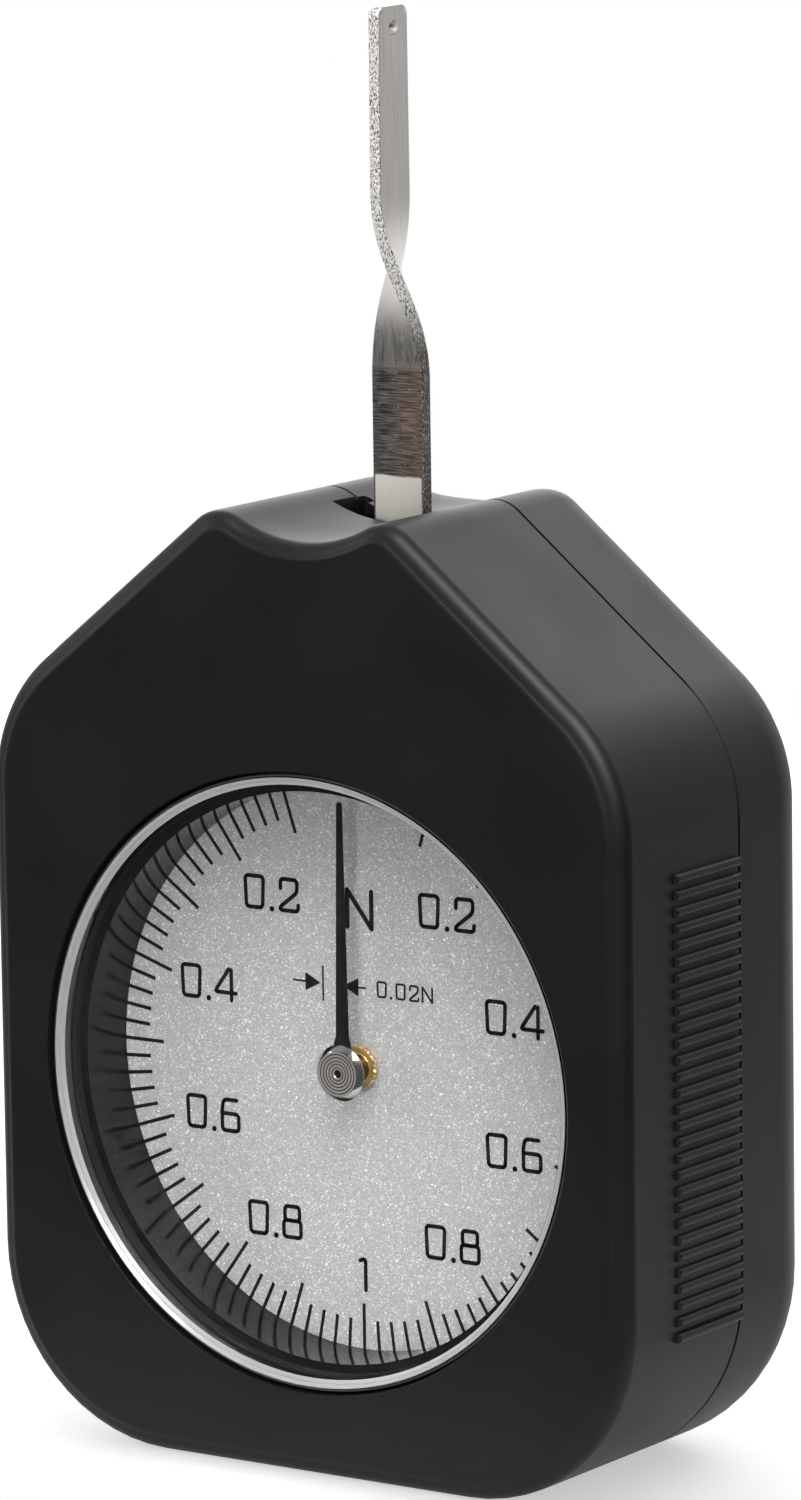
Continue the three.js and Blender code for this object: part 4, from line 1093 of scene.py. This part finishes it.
# Pen strokes of each printed sign, in shares of its height from its lower left corner, after its width
SIGN_SHARES = {
    "0": (0.76, [("loop", [(0.07, 0), (0.69, 0), (0.73, 1), (0.03, 1)])]),
    "1": (0.24, [("line", [(0.0, 0.9), (0.2, 0.98), (0.2, 0.0)])]),
    "2": (0.72, [
        ("line", [
            (0.05, 0.7), (0.05, 1), (0.68, 1), (0.68, 0.6), (0.03, 0.1), (0.03, 0), (0.72, 0), (0.72, 0.2),
        ]),
    ]),
    "4": (0.78, [
        ("line", [(0.6, 0.0), (0.6, 0.98)]),
        ("line", [(0.5, 1.0), (0.0, 0.3), (0.0, 0.24), (0.78, 0.24)]),
    ]),
    "6": (0.68, [
        ("line", [(0.6, 1), (0.1, 1), (0.03, 0.7), (0.03, 0), (0.67, 0), (0.67, 0.55), (0.03, 0.55)]),
    ]),
    "8": (0.68, [
        ("loop", [(0.06, 1), (0.62, 1), (0.62, 0.54), (0.06, 0.54)]),
        ("loop", [(0.01, 0.54), (0.67, 0.54), (0.67, 0), (0.01, 0)]),
    ]),
    "N": (0.78, [
        ("line", [(0, 0), (0, 1)]),
        ("line", [(0, 1), (0.78, 0)]),
        ("line", [(0.78, 0), (0.78, 1)]),
    ]),
    ".": (0.1, [("line", [(0.05, 0.0), (0.05, 0.01)])]),
}


def add_sign(bm, sign, corner, height, pen, rounding):
    """Draws one sign with a round pen, from its lower left corner."""
    for kind, points in SIGN_SHARES[sign][1]:
        stroke = [Vector((corner[0] + x * height, corner[1] + z * height)) for x, z in points]
        path = []
        for i, turn in enumerate(stroke):
            if kind == "line" and i in (0, len(stroke) - 1):
                path.append(turn)
                continue
            ends = []
            for other in (stroke[i - 1], stroke[(i + 1) % len(stroke)]):
                away = other - turn
                ends.append(turn + away.normalized() * min(rounding, away.length / 2))
            handles = [turn.lerp(end, HANDLE_SHARE) for end in ends]
            knots = [point.to_3d() for point in (ends[0], *handles, ends[1])]
            curve = interpolate_bezier(*knots, BEND_POINTS)
            path += [point.to_2d() for point in curve]
        if kind == "loop":
            path.append(path[0])
        for start, end in zip(path, path[1:]):
            add_bar(bm, start, end, pen)
            add_dot(bm, end, pen)
        add_dot(bm, path[0], pen * (POINT_SHARE if sign == "." else 1))


def add_signs(bm, signs, centre, height, pen, gap=SIGN_GAP_SHARE, rounding=SIGN_ROUNDING):
    """A row of signs, centred on an (x, z) point."""
    width = sum(SIGN_SHARES[sign][0] for sign in signs) + gap * (len(signs) - 1)
    x = centre[0] - width * height / 2
    bend = min(rounding, SIGN_ROUNDING_SHARE * height)
    for sign in signs:
        add_sign(bm, sign, (x, centre[1] - height / 2), height, pen, bend)
        x += (SIGN_SHARES[sign][0] + gap) * height


def make_ticks():
    """A tick for each division, longer at every fifth one."""
    bm = bmesh.new()
    for division in range(FIRST_DIVISION, LAST_DIVISION + 1):
        angle = radians(DIVISION_TURN * division)
        inner = LONG_TICK_INNER if division % LONG_TICK_EVERY == 0 else TICK_INNER
        ends = [(reach * sin(angle), AXIS_Z + reach * cos(angle)) for reach in (inner, TICK_OUTER)]
        add_bar(bm, *ends, TICK_WIDTH)
    make_piece("dial_ticks", bm, PRINT_BLACK, "case")


def make_numbers():
    """The scale's numbers on both sides, the one at its end, and the unit's letter."""
    bm = bmesh.new()
    for signs, (x, z) in NUMBERS.items():
        for side in (-1, 1):
            add_signs(bm, signs, (side * x, z), NUMBER_HEIGHT, NUMBER_PEN)
    add_signs(bm, "1", LAST_NUMBER_PLACE, LAST_NUMBER_HEIGHT, NUMBER_PEN)
    add_signs(bm, "N", UNIT_PLACE, UNIT_HEIGHT, UNIT_PEN, rounding=UNIT_ROUNDING)
    make_piece("dial_numbers", bm, PRINT_BLACK, "case")


def make_division_mark():
    """Two lines with arrows that point at them, and the size of one division."""
    bm = bmesh.new()
    add_signs(bm, "0.02N", MARK_TEXT_PLACE, MARK_TEXT_HEIGHT, MARK_PEN, gap=MARK_GAP_SHARE)
    for x in MARK_LINES:
        add_bar(bm, (x, MARK_Z - MARK_LINE_HALF), (x, MARK_Z + MARK_LINE_HALF), MARK_LINE_WIDTH)
    for tip, tail, way in MARK_ARROWS:
        middle = tip - way * ARROW_HEAD / 2
        add_bar(bm, (tail, MARK_Z), (middle, MARK_Z), ARROW_WIDTH)
        head = add_dot(bm, (middle, MARK_Z), ARROW_HEAD, 3, 0 if way > 0 else pi)
        to_mark = Matrix.Translation((0, 0, -MARK_Z))
        bmesh.ops.scale(bm, vec=(1, 1, ARROW_HEAD_SHARE), verts=head, space=to_mark)
    make_piece("division_mark", bm, PRINT_BLACK, "case")


# Pointer

def make_cap():
    """A thin turned cap with a hollow face, a shallow dimple in the middle painted black as the shade of a
    small hole, and a polished slope round it.
    """
    cap = bmesh.new()
    rim_front = CAP_FRONT + CAP_SLOPE_DEPTH
    turn_profile(cap, [
        *((reach, CAP_FRONT + depth) for reach, depth in CAP_FACE),
        (CAP_RADIUS - CAP_RIM, rim_front), (CAP_RADIUS, rim_front + CAP_RIM),
        (CAP_RADIUS, rim_front + 3 * CAP_RIM), (CAP_RADIUS - CAP_REAR_SLOPE, CAP_BACK),
        (ARBOR_ROOM_RADIUS, CAP_BACK), (ARBOR_ROOM_RADIUS, ARBOR_ROOM), (0, ARBOR_ROOM),
    ], steps=CAP_STEPS, closed=False)
    # Painted shade: the shallow dimple in the middle gets the black finish, as the dark inside of a hole.
    for side in cap.faces:
        middle = side.calc_center_median()
        reach = hypot(middle.x, middle.z - AXIS_Z)
        side.material_index = 2 if reach < CAP_HOLE else int(reach > CAP_FLAT)
    finishes = (TURNED_NICKEL, BRIGHT_NICKEL, WALL_BLACK)
    make_piece("cap_nickel", cap, finishes, "pointer_set", ["pointer_cap"], sharp=25)


def make_needle():
    """A black strip that flares at its foot and tapers to a point, on a round hub."""
    needle = bmesh.new()
    ends = (-NEEDLE_HALF_WIDTH, NEEDLE_HALF_WIDTH)
    add_block(needle, *ends, NEEDLE_FRONT, NEEDLE_BACK, AXIS_Z, NEEDLE_TOP)
    for height in (AXIS_Z + NEEDLE_FLARE_TOP, AXIS_Z + NEEDLE_NECK, NEEDLE_TOP - NEEDLE_POINT):
        cut_across(needle, height)
    foot = AXIS_Z + NEEDLE_TAPER_FOOT
    for vert in needle.verts:
        rise = (vert.co.z - foot) / (NEEDLE_TOP - foot)
        if rise < 0:
            vert.co.x *= NEEDLE_FLARE_SHARE
        else:
            point = NEEDLE_POINT_SHARE if vert.co.z > NEEDLE_TOP - NEEDLE_POINT / 2 else 0
            vert.co.x *= 1 - NEEDLE_TAPER_SHARE * rise - point
    round_edges(needle, needle.edges[:], NEEDLE_EDGE, segments=2)
    hub = [
        (NEEDLE_HUB - NEEDLE_HUB_EDGE, NEEDLE_FRONT), (NEEDLE_HUB, NEEDLE_FRONT + NEEDLE_HUB_EDGE_DEPTH),
        (NEEDLE_HUB, NEEDLE_BACK - NEEDLE_HUB_EDGE_DEPTH), (NEEDLE_HUB - NEEDLE_HUB_EDGE, NEEDLE_BACK),
    ]
    needle = carved(needle, [bore(0, AXIS_Z, hub, HUB_STEPS)], "UNION")
    hole = [(NEEDLE_HOLE, NEEDLE_FRONT - CUT_OVERRUN), (NEEDLE_HOLE, NEEDLE_BACK + CUT_OVERRUN)]
    needle = carved(needle, [bore(0, AXIS_Z, hole, HUB_STEPS)])
    make_piece("needle", needle, NEEDLE_BLACK, "pointer_set", ["pointer"])


def make_collar():
    """The brass collar under the cap, with a knurled rim and a dark bronze neck."""
    collar = bmesh.new()
    turn_profile(collar, COLLAR, steps=COLLAR_STEPS)
    for side in collar.faces:
        side.material_index = int(side.calc_center_median().y < COLLAR_NECK_BACK)
    notches = []
    for vert in collar.verts:
        across = vert.co.x
        up = vert.co.z - AXIS_Z
        step = round(atan2(across, up) / (2 * pi / COLLAR_STEPS))
        if hypot(across, up) > KNURL_INNER and step % KNURL_EVERY == 0:
            notches.append(vert)
    to_axis = Matrix.Translation((0, 0, -AXIS_Z))
    bmesh.ops.scale(collar, vec=(KNURL_SHARE, 1, KNURL_SHARE), verts=notches, space=to_axis)
    finishes = (BRASS, BRONZE)
    make_piece("collet_brass", collar, finishes, "pointer_set", ["pointer_collet"], sharp=20)


# Feeler arm

def arm_section(z):
    """The strip's turn from 0 to 1, its width and its thickness at a height."""
    share = min(max((z - TWIST_START) / (TWIST_END - TWIST_START), 0), 1)
    turn = share * share * (3 - 2 * share)
    taper = min(max((z - TWIST_END) / (ARM_TOP - TWIST_END), 0), 1)
    upper = BLADE_WIDTH + (TIP_WIDTH - BLADE_WIDTH) * taper
    drop = max(z - ARM_TOP + TIP_CORNER, 0)
    corners = 2 * (TIP_CORNER - sqrt(max(TIP_CORNER**2 - drop**2, 0)))
    width = ARM_WIDTH + (upper - ARM_WIDTH) * turn - corners
    thickness = ARM_THICKNESS + (TIP_THICKNESS - ARM_THICKNESS) * turn
    return turn, width, thickness


def make_feeler_arm():
    """A flat strip gets rounded edges, holes and cross cuts. Each height is then sized, turned and placed."""
    half_width = ARM_WIDTH / 2
    half_thickness = ARM_THICKNESS / 2
    bm = block(-half_width, half_width, -half_thickness, half_thickness, ARM_BOTTOM, ARM_TOP)
    upright = [edge for edge in bm.edges if is_upright(edge)]
    round_edges(bm, upright, ARM_ROUND, segments=3)
    eye = bore(0, EYE_HEIGHT, [(EYE_RADIUS, -ARM_CUT_HALF), (EYE_RADIUS, ARM_CUT_HALF)], EYE_STEPS)
    bmesh.ops.scale(eye, vec=(ARM_WIDTH / arm_section(EYE_HEIGHT)[1], 1, 1), verts=eye.verts)
    screw_hole = [(ARM_SCREW_HOLE, -ARM_CUT_HALF), (ARM_SCREW_HOLE, ARM_CUT_HALF)]
    screw_holes = [bore(0, height, screw_hole, SMALL_STEPS) for height in ARM_SCREW_HEIGHTS]
    bm = carved(bm, [eye, *screw_holes])
    bm.normal_update()
    for face in bm.faces:
        outer = abs(face.calc_center_median().x) > NARROW_SIDE_FROM
        face.material_index = int(abs(face.normal.x) > 0.5 and outer)
    stations = [ARM_BOTTOM + FOOT_STATION_PITCH * (i + 1) for i in range(FOOT_STATIONS)]
    stations += [TWIST_START + (TWIST_END - TWIST_START) * i / TWIST_STEPS for i in range(TWIST_STEPS + 1)]
    stations += [TWIST_END + BLADE_STATION_PITCH * (i + 1) for i in range(BLADE_STATIONS)]
    stations += [ARM_TOP - TIP_CORNER * (1 - sin(pi / 2 / TIP_STEPS * i)) for i in range(TIP_STEPS)]
    for z in stations:
        cut_across(bm, z)
    rings = {}
    for vert in bm.verts:
        rings.setdefault(round(vert.co.z, 3), []).append(vert)
    for z, ring in rings.items():
        turn, width, thickness = arm_section(z)
        bmesh.ops.scale(bm, vec=(width / ARM_WIDTH, thickness / ARM_THICKNESS, 1), verts=ring)
        bmesh.ops.rotate(bm, cent=(0, 0, 0), matrix=Matrix.Rotation(-turn * pi / 2, 3, "Z"), verts=ring)
        bmesh.ops.translate(bm, vec=(0, ARM_MIDDLE - turn * ARM_LEAN, 0), verts=ring)
    finishes = (ARM_NICKEL, SHEARED_NICKEL)
    make_piece("arm_strip", bm, finishes, "lever", ["feeler_arm"], sharp=40, weighted=True)


add_camera()
add_world()
add_floor()
add_lamps()
finish_inner_parts()
make_front_case()
make_rear_case()
make_case_screws()
make_window()
make_dial()
make_ticks()
make_numbers()
make_division_mark()
make_cap()
make_needle()
make_collar()
make_feeler_arm()
